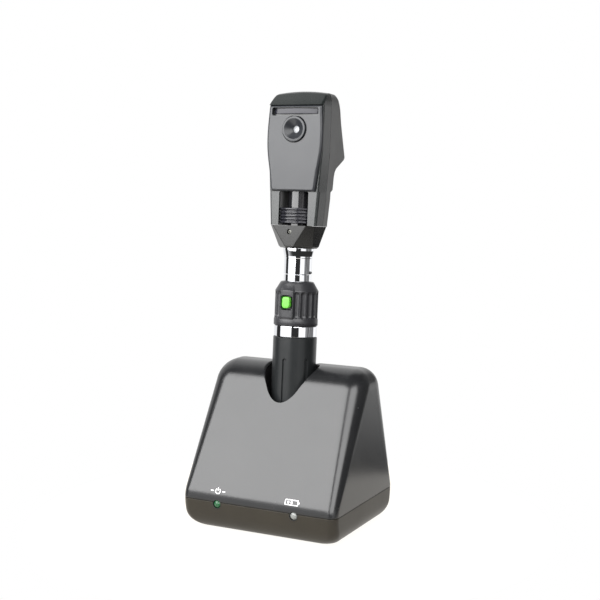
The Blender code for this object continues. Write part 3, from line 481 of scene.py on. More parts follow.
def mouth_tool(n=144):
    """The well's cylinder, opening into a rounded lip that follows the wedge."""
    rows = [[] for _ in range(12)]
    for i in range(n):
        a = 2 * pi * i / n
        s0, s1 = surface_s(WELL_R, a), surface_s(WELL_R + 2, a)
        m = (s1 - s0) / 2
        q = sqrt(1 + m * m)
        half = (pi / 2 + atan2(m, 1)) / 2
        lip = min(LIP, 0.7 / (1 / sin(half) - 1))
        cs = s0 + m * lip - lip * q
        end = atan2(1 / q, -m / q)
        path = [(WELL_R, 50.0), (WELL_R, cs - 0.5)]
        for k in range(8):
            t = pi + (end - pi) * 0.88 * k / 7
            path.append((WELL_R + lip + lip * cos(t), cs + lip * sin(t)))
        t = pi + (end - pi) * 0.88
        path.append((path[-1][0] + 3 * sin(t), path[-1][1] - 3 * cos(t)))
        path.append((path[-1][0], 136.0))
        for row, (r, s) in zip(rows, path):
            row.append((WELL_DX + r * cos(a), WELL_DY + r * sin(a), s))
    return loft(rows)


def tray_loop(z, off=0.0, **kw):
    """Tray section: sides run down, then round under; front and back pull in further."""
    u = max(0.0, min(0.999, (SEAM_Z - 0.3 - z) / (SEAM_Z - 1.3)))
    iy = 11.6 * (1 - sqrt(1 - u * u))
    dz = max(0.0, min(11.0, 12.0 - z))
    ix = 9.8 * (1 - sqrt(1 - (dz / 11.05) ** 2))
    y0, y1 = FRONT_C - SKIRT_R + iy + off, REAR_C + SKIRT_R - iy - off
    return loop_xy(BASE_HX - 0.1 - ix - off, y0, y1, max(1.0, SEAM_R - off * 0.6 + ix * 0.25), z, **kw)


def stand():
    kw = dict(n=10, mx=30, my=20)
    inner = [cover_loop(z, WALL, **kw) for z in reversed(levels(WALL, SEAM_Z, True))]
    outer = [cover_loop(SEAM_Z, 0.35, **kw), cover_loop(SEAM_Z + 0.08, 0.1, **kw), cover_loop(SEAM_Z + 0.35, 0, **kw)]
    outer += [cover_loop(z, 0, **kw) for z in levels(0, SEAM_Z + 0.8)]
    ob = raw(loft(inner + outer), "cover_shell", False)
    cut(ob, mouth_tool())
    for x in LED_X:
        cut(ob, rod(LED_R + 0.25, (x, -60, LED_Z), (x, -38, LED_Z), 40), handset=False)
    done(ob, "cover", "stand", "stand_cover", slot="stand_black", sharp=38)

    kw = dict(n=10, mx=20, my=14)
    zs = [1.02, 1.15, 1.5, 2.1, 3.0, 4.2, 5.6, 7.2, 9.0, 11.0, 13.5, 16.0, 18.5, 20.6]
    rows = [tray_loop(z, 0, **kw) for z in zs]
    rows += [tray_loop(SEAM_Z - 0.62, 0, **kw), tray_loop(SEAM_Z - 0.38, 0.1, **kw), tray_loop(SEAM_Z - 0.3, 0.35, **kw),
             tray_loop(SEAM_Z - 0.3, 2.7, **kw)]
    rows += [[(x, y, SEAM_Z + 1.4) for x, y, _ in tray_loop(SEAM_Z - 0.3, 2.7, **kw)],
             [(x, y, SEAM_Z + 1.4) for x, y, _ in tray_loop(SEAM_Z - 0.3, 3.7, **kw)]]
    rows += [tray_loop(z, 3.7, **kw) for z in (16.0, 11.0, 7.0)] + \
            [[(x * 0.97, y * 0.97, 3.8) for x, y, _ in tray_loop(5.0, 3.7, **kw)]]
    ob = raw(loft(rows), "tray_shell", False)
    for x in LED_X:
        cut(ob, rod(LED_R + 0.25, (x, -60, LED_Z), (x, -38, LED_Z), 40), handset=False)
    cut(ob, rod(4.3, (28, 38, 12.6), (28, 60, 12.6), 48), handset=False)
    cut(ob, rod(5.6, (28, 47.6, 12.6), (28, 60, 12.6), 48, 6.4), handset=False)
    for sx in (-1, 1):
        for sy in (-1, 1):
            cut(ob, rod(6.3, (sx * 34.5, sy * 27, 0), (sx * 34.5, sy * 27, 2.3), 48), handset=False)
            cut(ob, rod(3.3, (sx * 45.5, sy * 24, 0), (sx * 45.5, sy * 24, 2.4), 32), handset=False)
            cut(ob, rod(1.7, (sx * 45.5, sy * 24, 0), (sx * 45.5, sy * 24, 6), 24), handset=False)
    done(ob, "tray", "stand", "stand_tray", slot="tray_black", sharp=38)

    # well: tube with a floor under the mouth, trimmed to the cover's underside
    ob = raw(turn(lathe(soft([(0, WELL_FLOOR - 2.4), (WELL_R + 1.5, WELL_FLOOR - 2.4), (WELL_R + 1.5, 118.0),
                              (WELL_R, 118.0), (WELL_R, WELL_FLOOR), (2.6, WELL_FLOOR), (2.6, WELL_FLOOR - 1.2),
                              (0, WELL_FLOOR - 1.2)], 0.5, 3), 96, False), 0, "Z", (WELL_DX, WELL_DY, 0)), "well_tube")
    cut(ob, loft([cover_loop(z, WALL + 0.12, n=6, mx=10, my=8) for z in [4.0] + levels(WALL + 0.12, SEAM_Z, False)]),
        "INTERSECT", False)
    done(ob, "well", "stand", "well_liner", slot="well_black")

    # lights: dome, body and flange
    for name, x, mat in (("power_led", LED_X[0], "led_green"), ("charge_led", LED_X[1], "led_clear")):
        y = front_y(LED_Z) - 0.55
        prof = [(0, 11.0), (LED_R + 0.35, 11.0), (LED_R + 0.35, 9.8), (LED_R, 9.8), (LED_R, 2.2)]
        prof += [(LED_R * cos(radians(t)), 2.2 - 2.2 * sin(radians(t))) for t in range(10, 90, 10)] + [(0, 0)]
        ob = raw(turn(lathe(prof, 48, False), -90, "X", (x, y, LED_Z)), name + "_dome", False)
        done(ob, mat, "stand", name, slot="led_green" if x < 0 else "led_clear")
        ob = raw(turn(lathe(soft([(0.25, 3.4), (1.0, 3.4), (1.35, 4.4), (1.35, 4.8), (0.25, 4.8)], 0.1, 2, True), 32),
                      -90, "X", (x, y, LED_Z)), name + "_die", False)
        done(ob, "led_green_core" if x < 0 else "steel", "stand")
        ob = raw(turn(ring_of(LED_R + 0.42, LED_R + 0.04, 0.50, 1.5, 0.1, 48), -90, "X", (x, y, LED_Z)),
                 name + "_bezel", False)
        done(ob, "pin", "stand")

    # two printed symbols over the lights, in place of words
    def on_slope(x, t, h=0.06):
        """x across, t up the slope from z = 29.5, h proud of it."""
        z = 29.5 + t * cos(FRONT_SLOPE)
        return (x, front_y(z) - h * cos(FRONT_SLOPE), z + h * sin(FRONT_SLOPE))

    def inked(name, shapes):
        bm = bmesh.new()
        for pts in shapes:
            for h in (0.01, 0.06):
                row = [bm.verts.new(on_slope(x, t, h)) for x, t in pts]
                if h == 0.01:
                    low = row
            bm.faces.new(row)
            bm.faces.new(list(reversed(low)))
            for i in range(len(row)):
                j = (i + 1) % len(row)
                bm.faces.new((low[i], low[j], row[j], row[i]))
        done(raw(bm, name, False), "ink", "stand")

    def arc_band(cx, ct, r0, r1, a0, a1, n=28):
        return [(cx + r1 * cos(radians(a0 + (a1 - a0) * i / n)), ct + r1 * sin(radians(a0 + (a1 - a0) * i / n)))
                for i in range(n + 1)] + \
               [(cx + r0 * cos(radians(a1 + (a0 - a1) * i / n)), ct + r0 * sin(radians(a1 + (a0 - a1) * i / n)))
                for i in range(n + 1)]

    def bar(x0, x1, t0, t1):
        return rounded_rect(x1 - x0, t1 - t0, 0.24, (x0 + x1) / 2, (t0 + t1) / 2, 3)

    cx, ct = SYMBOL[0]
    inked("power_symbol", [arc_band(cx, ct, 1.55, 2.05, 125, 415), bar(cx - 0.26, cx + 0.26, ct + 0.3, ct + 2.5),
                           bar(cx - 5.6, cx - 3.4, ct - 0.28, ct + 0.28), bar(cx + 3.4, cx + 5.6, ct - 0.28, ct + 0.28)])
    cx, ct = SYMBOL[1]
    inked("charge_symbol", [bar(cx - 5.2, cx + 4.4, ct + 1.45, ct + 1.95), bar(cx - 5.2, cx + 4.4, ct - 1.95, ct - 1.45),
                            bar(cx - 5.2, cx - 4.7, ct - 1.5, ct + 1.5), bar(cx + 3.9, cx + 4.4, ct - 1.5, ct + 1.5),
                            bar(cx + 4.6, cx + 5.3, ct - 0.7, ct + 0.7), bar(cx - 3.4, cx - 2.2, ct - 0.75, ct + 0.75),
                            bar(cx - 0.9, cx + 0.3, ct - 0.75, ct + 0.75)])

    # feet with a ring groove, screws with a cross recess, power inlet
    for i, (sx, sy) in enumerate(((-1, -1), (1, -1), (-1, 1), (1, 1))):
        prof = soft([(0, 0.5), (3.0, 0.5), (3.2, 0.0), (5.2, 0.0), (6.0, 0.7), (6.0, 2.0), (0, 2.0)], 0.25, 3)
        done(raw(turn(lathe(prof, 64, False), 0, "Z", (sx * 34.5, sy * 27, 0)), f"rubber_foot_{i + 1}", False),
             "rubber", "stand", f"foot_{i + 1}", slot="rubber")
        prof = soft([(0, 1.25), (2.5, 1.25), (2.9, 1.55), (2.9, 2.1), (1.4, 2.1), (1.4, 16.0), (0, 16.0)], 0.12, 2)
        ob = raw(turn(lathe(prof, 40, False), 0, "Z", (sx * 45.5, sy * 24, 0)), f"base_screw_{i + 1}", False)
        cross(ob, (sx * 45.5, sy * 24, 1.0), "Z", 3.2, 0.75, 1.4, False)
        done(ob, "steel", "stand", f"tray_screw_{i + 1}", slot="screw_steel")
    bm = turn(lathe(soft([(2.8, 45.2), (4.0, 45.2), (4.0, 36.0), (0, 36.0), (0, 37.0), (2.8, 37.0)], 0.2, 2), 48, False),
              -90, "X", (28, 0, 12.6))
    ob = raw(bm, "inlet_barrel", False)
    done(ob, "jack", "stand", "dc_socket", slot="well_black")
    ob = raw(turn(peg([(1.0, 36.8), (1.0, 43.6), (0.7, 44.0)], 24, 0.1), -90, "X", (28, 0, 12.6)), "inlet_pin", False)
    done(ob, "brass", "stand")


def cross(ob, at, axis, span, width, depth, handset=True):
    """A cross recess cut into a screw head."""
    for a in (0, 90):
        w = [(-span / 2, -width / 2), (span / 2, -width / 2), (span / 2, width / 2), (-span / 2, width / 2)]
        k = 0.45
        rows = [[(x, y, -0.6) for x, y in w], [(x * k, y * k, depth) for x, y in w]]
        bm = loft(rows)
        bmesh.ops.rotate(bm, verts=bm.verts, cent=(0, 0, 0), matrix=Matrix.Rotation(radians(a + 20), 3, "Z"))
        if axis == "Y":
            turn(bm, -90, "X")
        elif axis == "-Y":
            turn(bm, 90, "X")
        bmesh.ops.translate(bm, verts=bm.verts, vec=at)
        cut(ob, bm, handset=handset)


LED_X = (-29.9, 27.6)
SYMBOL = ((-29.8, -1.0), (26.0, -1.3))
TUBE_R = 8.3
M["led_green_core"] = moulded("led_core", (0.10, 0.55, 0.22), (0.20, 0.75, 0.34), 0.30, 0.04, 0.2, 0.004)


# ================================================================ handle
def grip_relief(a, s):
    """How deep the grip grooves are at an angle and a height."""
    best = 9.9
    for k in range(6):
        d = (a - radians(-90 + 60 * k) + pi) % (2 * pi) - pi
        x = 15.0 * d
        dy = max(0.0, s - (114.0 - 1.35), 34.0 + 1.35 - s)
        best = min(best, hypot(x, dy) - 1.35)
    return 1.1 * (1 - step(best, -0.30, 0.16))


def handle():
    cols = []
    for k in range(6):
        c = radians(-90 + 60 * k)
        for x in (-1.9, -1.6, -1.45, -1.3, -1.15, -1.0, -0.8, -0.5, 0, 0.5, 0.8, 1.0, 1.15, 1.3, 1.45, 1.6, 1.9):
            cols.append(c + x / 15.0)
        for j in range(1, 9):
            cols.append(c + 1.9 / 15.0 + (radians(60) - 3.8 / 15.0) * j / 9)
    ss = [23.5, 23.8, 30, 33.2, 33.6, 34.0, 34.4, 34.8, 35.2, 36, 44, 56, 68, 80, 92, 102, 108, 111, 112] + \
         [112.4 + 0.18 * i for i in range(11)] + [114.6, 116, 120, 124, 127.8, 128.1, 128.35, 128.5]
    rows = [[(12.5 * cos(a), 12.5 * sin(a), 23.5) for a in cols]]
    for s in ss:
        edge = 0.35 * (1 - step(s, 23.5, 23.85)) + 0.35 * step(s, 128.1, 128.5)
        rows.append([((15.0 - edge - grip_relief(a, s)) * cos(a), (15.0 - edge - grip_relief(a, s)) * sin(a), s)
                     for a in cols])
    rows.append([(12.5 * cos(a), 12.5 * sin(a), 128.5) for a in cols])
    done(raw(loft(rows, ring=True), "grip_tube"), "handle", "handset", "handle_tube", slot="handle_black", sharp=40)

    prof = soft([(4.1, 20.0), (14.0, 20.0), (15.0, 21.0), (15.0, 23.2), (12.1, 23.2), (12.1, 29.0), (9.0, 29.0),
                 (9.0, 23.0), (4.1, 23.0)], 0.3, 3, True)
    ob = raw(lathe(prof, 96), "screw_cap")
    cut(ob, box(-1.1, 1.1, 8.0, 13.0, 19.0, 21.2))
    cut(ob, box(-1.1, 1.1, -13.0, -8.0, 19.0, 21.2))
    done(ob, "handle", "end_cap", "end_cap", slot="handle_black")

    prof = soft([(0, 121.0), (12.1, 121.0), (12.1, 123.0), (8.0, 123.0), (8.0, 166.5), (9.45, 166.5), (9.45, 171.0),
                 (6.0, 171.0), (6.0, 178.5), (0, 178.5)], 0.18, 3)
    ob = raw(lathe(prof, 96, False), "socket_core")
    cut(ob, box(-7.0, 7.0, -1.6, 1.6, 175.6, 177.6), "UNION")
    cut(ob, rod(3.2, (0, 0, 115), (0, 0, 185), 32))
    done(ob, "chrome", "handset", "handle_socket", slot="chrome")

    prof = soft([(14.6, 128.8), (14.6, 136.0), (8.4, 136.0), (8.4, 128.8)], 0.35, 4, True)
    done(raw(lathe(prof, 128), "trim_band"), "chrome", "handset", "trim_ring", slot="chrome")

    # brightness ring: rim, flutes with round ends, cone, front pad and button pocket
    n = 480
    ss = [136.3, 136.5, 136.8, 138.5, 140.4, 141.0] + [141.4 + 0.28 * i for i in range(10)] + \
         [145, 146, 147, 147.3, 147.6, 147.9, 148.3, 149.5, 151, 152.5, 154, 155.5, 156.0, 156.3, 156.6, 156.9, 157.2] + \
         [157.6 + 0.28 * i for i in range(11)] + [160.8, 161.1, 162.5, 164.5, 165.6, 166.0, 166.2]

    def radius(a, s):
        r = 15.1
        if s < 136.9:
            r -= 0.5 * (1 - step(s, 136.2, 136.85))
        r -= 0.28 * step(s, 140.6, 141.2)
        if s > 160.0:
            r = 14.82 - (s - 160.0) * (14.82 - 11.3) / 5.9
        if s > 165.8:
            r -= 0.5 * step(s, 165.8, 166.3)
        front = (a + pi / 2 + pi) % (2 * pi) - pi
        pitch = 2 * pi / 20
        k = round(front / pitch - 0.5) + 0.5
        if abs(k) > 1:
            x = (front - k * pitch) * 15.1
            dy = max(0.0, s - (159.4 - 1.9), 141.6 + 1.9 - s)
            d = hypot(x, dy)
            r -= 1.25 * sqrt(max(0.0, 1 - (d / 1.95) ** 2)) if d < 1.95 else 0.0
        x, c = r * sin(front), cos(front)
        if c > 0.5:                                               # pad and pocket
            w = (1 - step(abs(x), 4.3, 5.5)) * step(s, 140.9, 142.3) * (1 - step(s, 160.0, 161.8))
            pad = min(15.5 / c, 15.5 + 0.2)
            r = r + w * max(0.0, pad - r)
            x = r * sin(front)
            bx, bz = max(0.0, abs(x) - 2.2), max(0.0, abs(s - 152.1) - 2.7)
            d = hypot(bx, bz) - 2.15
            r -= 5.2 * (1 - step(d, -0.25, 0.12))
        return r

    rows = [[(8.5 * cos(2 * pi * i / n), 8.5 * sin(2 * pi * i / n), 136.3) for i in range(n)]]
    for s in ss:
        row = []
        for i in range(n):
            a = 2 * pi * i / n
            r = radius(a, s)
            row.append((r * cos(a), r * sin(a), s))
        rows.append(row)
    rows.append([(8.5 * cos(2 * pi * i / n), 8.5 * sin(2 * pi * i / n), 166.2) for i in range(n)])

    # the recess faces round the button get the dark green, painted shade
    def in_pocket(p, _):
        return 1 if p.y < -11.5 and abs(p.x) < 4.1 and abs(p.z - 152.1) < 4.6 and hypot(p.x, p.y) < 15.0 else 0
    done(raw(loft(rows, ring=True), "dimmer_ring"), ["ring", "pocket_shade"], "rheostat", "rheostat_ring",
         slot="ring_black", sharp=50, pick=in_pocket)

    # lock button: crowned block with rounded corners
    rows = []
    for k, y in ((0.0, -13.3), (0.0, -15.4), (0.12, -15.8), (0.4, -16.1), (0.9, -16.27), (1.7, -16.3)):
        rows.append([(x, y, z) for x, z in rounded_rect(5.8 - 2 * k, 7.8 - 2 * k, 2.0 - min(k, 1.2), -0.15, 152.2, 8)])
    done(raw(loft(rows), "green_button"), "green", "lock_button", "lock_button", slot="button_green")


# ================================================================ head
def cone_loop(outline, s):
    right = [(x, y, s) for x, y in outline]
    return right + [(-x, y, s) for x, y in reversed(outline)]


def half_loop(s, wp, wc, wface, y, cd, sign, n=8, g=0.15):
    right = [(wp, sign * g, s)]
    for i in range(n + 1):
        a = pi / 2 * i / n
        right.append((wface + (wc - wface) * cos(a), y - sign * cd * (1 - sin(a)), s))
    return right + [(-px, py, ps) for px, py, ps in reversed(right)]


FRONT_LEVELS = (
    (204.3, 17.3, 17.3, 15.4, -10.6, 1.8), (223.0, 19.1, 18.6, 16.4, -10.6, 1.8),
    (227.0, 19.2, 18.8, 16.5, -10.6, 1.8), (227.3, 19.3, 18.4, 17.3, -11.0, 1.0),
    (238.0, 19.8, 19.1, 18.2, -11.0, 1.0), (247.0, 20.2, 19.8, 19.1, -11.0, 0.9),
    (255.0, 20.5, 20.4, 19.8, -11.0, 0.8),
    (284.6, 20.5, 20.4, 19.8, -11.0, 0.8), (284.9, 20.5, 20.3, 18.9, -13.6, 2.0),
    (287.2, 20.45, 20.2, 18.9, -11.3, 2.0), (289.5, 20.2, 20.0, 18.8, -8.8, 1.8),
    (291.2, 19.8, 19.6, 18.4, -7.0, 1.7), (292.5, 19.2, 19.0, 17.8, -5.6, 1.5),
    (294.0, 18.1, 17.9, 16.7, -4.0, 1.4), (295.4, 16.6, 16.4, 15.2, -2.6, 1.2))
REAR_LEVELS = (
    (204.3, 17.3, 17.1, 15.3, 8.6, 1.8), (223.0, 19.1, 18.8, 17.0, 8.6, 1.8),
    (227.6, 19.2, 18.9, 17.1, 8.6, 1.8), (228.6, 19.3, 19.0, 17.4, 10.0, 1.6), (229.6, 19.35, 19.05, 17.4, 11.2, 1.6),
    (238.0, 19.8, 19.5, 17.9, 11.3, 1.6), (241.2, 19.95, 19.7, 18.1, 11.9, 1.6),
    (242.8, 20.0, 19.8, 18.2, 12.8, 1.6), (244.2, 20.1, 19.9, 18.3, 14.1, 1.6),
    (245.4, 20.15, 20.0, 18.4, 15.9, 1.6), (246.6, 20.2, 20.1, 18.5, 17.9, 1.6),
    (248.4, 20.3, 20.15, 18.5, 20.9, 1.6), (250.2, 20.4, 20.2, 18.6, 23.9, 1.6),
    (251.0, 20.45, 20.25, 18.6, 24.9, 1.6), (251.8, 20.5, 20.3, 18.7, 25.4, 1.6), (252.8, 20.5, 20.3, 18.7, 25.5, 1.6),
    (254.0, 20.5, 20.3, 18.7, 25.1, 1.6), (263.9, 20.5, 20.3, 18.7, 21.6, 1.6),
    (274.2, 20.5, 20.3, 18.7, 18.0, 1.6), (279.0, 20.5, 20.3, 18.7, 16.7, 1.6), (283.4, 20.5, 20.3, 18.7, 15.7, 1.6),
    (287.0, 20.4, 20.1, 18.4, 14.7, 1.8), (290.0, 20.2, 19.8, 17.8, 13.6, 2.0),
    (291.6, 19.8, 19.3, 17.2, 12.6, 2.1), (293.0, 19.2, 18.6, 16.4, 11.4, 2.2),
    (294.2, 18.1, 17.5, 15.3, 9.8, 2.2), (295.4, 16.6, 16.0, 13.8, 7.6, 2.2))


def inner_levels(table, off, s_top):
    out = []
    for s, wp, wc, wf, y, cd in table:
        if 230.0 <= s <= s_top:
            out.append((s, wp - off, wc - off, wf - off, y + off if y < 0 else y - off, cd * 0.6))
    first, last = list(out[0]), list(out[-1])
    first[0], last[0] = 230.0, s_top
    if table is FRONT_LEVELS:
        last[4] = -5.4
        out = [lv for lv in out if not 284.0 < lv[0] < 287.0]
    return [tuple(first)] + [lv for lv in out if 230.0 < lv[0] < s_top] + [tuple(last)]


PLATE = ((227.4, 16.6), (240.0, 18.2), (248.0, 19.6), (255.5, 20.6), (263.0, 20.9), (270.7, 20.7), (284.8, 19.7))


def plate_half_width(s):
    """Smooth curve through the plate's half widths."""
    t = PLATE
    s = max(t[0][0], min(t[-1][0], s))
    for i in range(len(t) - 1):
        if s <= t[i + 1][0]:
            break
    p0, p1, p2, p3 = t[max(i - 1, 0)], t[i], t[i + 1], t[min(i + 2, len(t) - 1)]
    h = p2[0] - p1[0]
    m1 = (p2[1] - p0[1]) / (p2[0] - p0[0])
    m2 = (p3[1] - p1[1]) / (p3[0] - p1[0])
    u = (s - p1[0]) / h
    return ((2 * u ** 3 - 3 * u * u + 1) * p1[1] + (u ** 3 - 2 * u * u + u) * h * m1
            + (-2 * u ** 3 + 3 * u * u) * p2[1] + (u ** 3 - u * u) * h * m2)


def plate_outline(inset):
    """Outline of the brow plate, moved inward by inset, with small corner roundings."""
    s0, s1, rc = 227.4 + inset * 0.6, 284.6 - inset, 0.8
    right = []
    for i in range(7):
        a = radians(-90 + 90 * i / 6)
        right.append((plate_half_width(s0) - inset - rc + rc * cos(a), s0 + rc + rc * sin(a)))
    k = 34
    for i in range(1, k):
        s = s0 + rc + (s1 - s0 - 2 * rc) * i / k
        right.append((plate_half_width(s) - inset, s))
    for i in range(7):
        a = radians(90 * i / 6)
        right.append((plate_half_width(s1) - inset - rc + rc * cos(a), s1 - rc + rc * sin(a)))
    return right + [(-x, s) for x, s in reversed(right)]


def head():
    # neck with a groove at the joint and a flared collar
    prof = soft([(9.45, 171.35), (9.45, 182.0), (9.6, 182.3), (9.65, 183.4), (10.45, 186.9), (10.55, 187.2), (10.55, 188.9), (8.6, 188.9),
                 (8.6, 202.5), (7.6, 202.5), (7.6, 184.5), (2.7, 184.5), (2.7, 182.5), (7.6, 182.5), (7.6, 171.35)],
                0.2, 3, True)
    ob = raw(lathe(prof, 128), "neck_barrel")
    cut(ob, rod(1.1, (7, 0, 172.6), (12, 0, 172.6), 24))
    cut(ob, rod(1.3, (0, -12, 199.9), (0, -6, 199.9), 24))
    done(ob, "chrome", "head", "neck_tube", slot="chrome")
    done(raw(turn(peg([(0.8, 7.8), (0.8, 10.2), (0.5, 10.6)], 24, 0.12), 90, "Y", (0, 0, 172.6)), "locating_pin"),
         "pin", "head", "bayonet_pin", slot="well_black")

    bottom = ((3.3, -14.8), (13.2, -4.6), (13.2, 4.2), (3.3, 12.0))
    top = ((12.6, -15.6), (16.6, -10.4), (17.4, 6.0), (12.6, 11.0))
    rim = tuple((x * 0.90, y * 0.90) for x, y in bottom)
    bm = loft([cone_loop(rim, 189.0), cone_loop(bottom, 190.2), cone_loop(top, 204.1)])
    ob = raw(round_edges(bm, lambda p, q: min(p.z, q.z) < 203 and max(p.z, q.z) > 189.5, 0.4), "cone_body")
    cut(ob, rod(9.1, (0, 0, 180), (0, 0, 210), 64))
    cut(ob, rod(1.4, (0, -20, 199.9), (0, -6, 199.9), 32))
    cut(ob, rod(1.75, (0, -20, 199.9), (0, -12.9, 199.9), 40))
    done(ob, ["cone", "inner"], "head", "head_cone", slot="head_black", sharp=28, pick=lambda p, _: int(p.z > 204.0))
    prof = soft([(0, 0.15), (1.2, 0.25), (1.6, 0.6), (1.6, 1.3), (1.05, 1.3), (1.05, 6.6), (0, 6.6)], 0.12, 3)
    ob = raw(turn(lathe(prof, 40, False), -90, "X", (0, -14.6, 199.9)), "cone_screw")
    cross(ob, (0, -14.6, 199.9), "Y", 2.0, 0.5, 1.2)
    done(ob, "oxide", "head", "neck_screw", slot="screw_steel")

    # two shells with a shadow line between them
    def roof():
        xs = [-24 + i for i in range(49)]
        rows = []
        for y in [-30.0] + [-4.76 + 0.26 * i for i in range(17)] + [6.0, 30.0]:
            if y < -4.77:
                drop = -8.0
            else:
                drop = 6.0 - sqrt(36.0 - min(0.0, y + 0.6) ** 2)
            rows.append([(-24, y, 312.0)] + [(x, y, 295.0 - 1.4 * (x / 18.8) ** 2 - drop) for x in xs]
                        + [(24, y, 312.0)])
        return loft(rows)

    wn = Vector((0, cos(radians(19.3)), sin(radians(19.3))))
    wc = Vector((0, 19.92, 268.7))
    for name, node, table, sign in (("shell_front", "front_shell", FRONT_LEVELS, -1),
                                    ("shell_rear", "rear_shell", REAR_LEVELS, 1)):
        ob = raw(loft([half_loop(203.6, *table[0][1:], sign)] + [half_loop(*lv, sign) for lv in table[1:]]), name)
        cut(ob, roof())
        bevel(ob, 0.35, 24, 3)
        cut(ob, box(-30, 30, -30, 30, 202.0, 204.25))
        cut(ob, lathe([(0, 200.0), (14.6, 200.0), (14.6, 227.2), (0, 227.2)], 96, False))
        cut(ob, slab(rounded_rect(22.0, 27.2 + 6, 1.2, 0, 200.0 + 13.6 - 3, 6), -30, 30))
        cut(ob, rod(TUBE_R + 0.3, (0, 0, 226), (0, 0, 236), 64))
        cut(ob, loft([half_loop(*lv, sign, g=-2.0) for lv in inner_levels(table, 1.5, 291.0)]))
        if sign < 0:
            cut(ob, rod(8.9, (0, -20, 268.7), (0, -5, 268.7), 64))
            cut(ob, slab(rounded_rect(34.8, 5.5, 1.4, 0.0, 280.4, 6), -20, -10.6))
        else:
            cut(ob, rod(7.0, wc - wn * 6, wc + wn * 4, 64))
            cut(ob, rod(8.4, wc - wn * 1.3, wc + wn * 4, 64))
            for sx in (-1, 1):
                cut(ob, rod(1.3, (sx * 13.6, 5, 236), (sx * 13.6, 15, 236), 24))
                cut(ob, rod(2.1, (sx * 13.6, 9.7, 236), (sx * 13.6, 15, 236), 32))
        done(ob, "head" if sign < 0 else "rear", "head", node, slot="head_black", sharp=28)
    for i, sx in enumerate((-1, 1)):
        prof = soft([(0, 0.1), (1.2, 0.2), (1.8, 0.5), (1.8, 1.2), (1.0, 1.2), (1.0, 16.6), (0, 16.6)], 0.1, 2)
        ob = raw(turn(lathe(prof, 32, False), 90, "X", (sx * 13.6, 11.2, 236)), f"rear_screw_{i + 1}")
        cross(ob, (sx * 13.6, 11.2, 236), "-Y", 2.4, 0.55, 1.1)
        done(ob, "steel", "head", f"shell_screw_{i + 1}", slot="screw_steel")
    prof = [(0, 0), (7.6, 0), (8.0, 0.15), (8.1, 0.4), (8.1, 0.9), (0, 0.9)]
    bm = lathe(prof, 64, False)
    q = wn.to_track_quat("Z", "Y").to_matrix().to_4x4()
    bm.transform(Matrix.Translation(wc - wn * 1.0) @ q)
    done(raw(bm, "exit_glass"), "glass", "head", "exit_window", slot="glass")

    # brow plate with a rounded rim, eyepiece bore and card slot
    rows = [(0.0, -11.3), (0.0, -12.0), (0.06, -12.35), (0.25, -12.72), (0.55, -13.04), (0.95, -13.32), (1.4, -13.53),
            (1.75, -13.6), (2.0, -13.6)]
    ob = raw(loft([[(x, y, s) for x, s in plate_outline(i)] for i, y in rows]), "brow_plate")
    cut(ob, rod(9.15, (0, -20, 268.7), (0, -5, 268.7), 96))
    cut(ob, slab(rounded_rect(34.8, 5.5, 1.4, 0.0, 280.4, 8), -20, -10.5))
    done(ob, "plate", "head", "face_plate", slot="plate_grey", sharp=24)
    rows = []
    for k, y0 in ((0.0, -10.3), (0.0, -12.75), (0.12, -12.95), (0.4, -13.05)):
        rows.append([(x, y0 + (0.0 if y0 > -11 else 2.2 * (abs(x + 0.3) / 17.0) ** 2), s)
                     for x, s in dense(rounded_rect(33.0 - 2 * k, 3.7 - 2 * k, 0.9 - k, -0.2, 280.75, 5))])
    done(raw(loft(rows), "slot_bar"), "bar", "head", "card_bar", slot="plate_grey", sharp=30)

    # eyepiece: raised ring, conical recess, bore, lens behind
    prof = soft([(8.7, 0.9), (8.6, -0.1), (8.3, -0.42), (7.2, -0.52), (6.75, -0.30), (2.45, 3.2), (2.45, 5.0),
                 (3.6, 5.0), (3.6, 7.0), (8.6, 7.0), (8.6, 1.4)], 0.22, 3, True)
    done(raw(turn(lathe(prof, 128), -90, "X", (0, -14.5, 268.7)), "eye_ring"), "plate", "head", "eyepiece_ring",
         slot="head_black", sharp=30)
    # the lens behind the eyepiece glows with painted light, for the bright peephole
    prof = [(0, -0.35), (1.0, -0.3), (2.0, -0.1), (2.6, 0.15), (3.3, 0.2), (3.3, 1.0), (0, 1.0)]
    done(raw(turn(lathe(prof, 48, False), -90, "X", (0, -9.3, 268.7)), "eye_lens"), "peep", "head", "eyepiece_glass",
         slot="glass")

    # streak sleeve
    prof = [(TUBE_R + 0.15, 205.5), (13.0, 205.5)]
    for i in range(5):
        s = 205.5 + i * 2.24
        prof += [(13.55, s + 0.15), (14.0, s + 0.45), (14.0, s + 1.15), (13.6, s + 1.5), (12.9, s + 1.65),
                 (12.9, s + 2.05)]
    prof = prof[:-1] + [(TUBE_R + 0.15, 205.5 + 4 * 2.24 + 1.65)]
    done(raw(lathe(soft(prof, 0.12, 2, True), 128), "ribbed_sleeve"), "sleeve", "streak_sleeve", "thumb_sleeve",
         slot="ring_black", sharp=40)
    prof = soft([(TUBE_R, 203.2), (TUBE_R, 229.9), (7.0, 229.9), (7.0, 245.0), (5.9, 245.0), (5.9, 203.2)], 0.2, 3, True)
    done(raw(lathe(prof, 96), "guide_tube"), "guide", "streak_sleeve", "slide_tube", slot="ring_black")
    prof = [(0, 213.3), (2.3, 213.3), (2.7, 213.7), (2.9, 214.5), (2.9, 218.3), (2.75, 219.3), (2.3, 220.3),
            (1.5, 221.0), (0.6, 221.35), (0, 221.4)]
    done(raw(lathe(prof, 40, False), "lamp_glass"), "glass", "streak_sleeve", "bulb", slot="glass")


def dense(pts, gap=0.9):
    """The same closed outline with long edges split."""
    out = []
    for i, a in enumerate(pts):
        b = pts[(i + 1) % len(pts)]
        k = max(1, int(hypot(b[0] - a[0], b[1] - a[1]) / gap))
        out += [(a[0] + (b[0] - a[0]) * j / k, a[1] + (b[1] - a[1]) * j / k) for j in range(k)]
    return out


stand()
handle()
head()

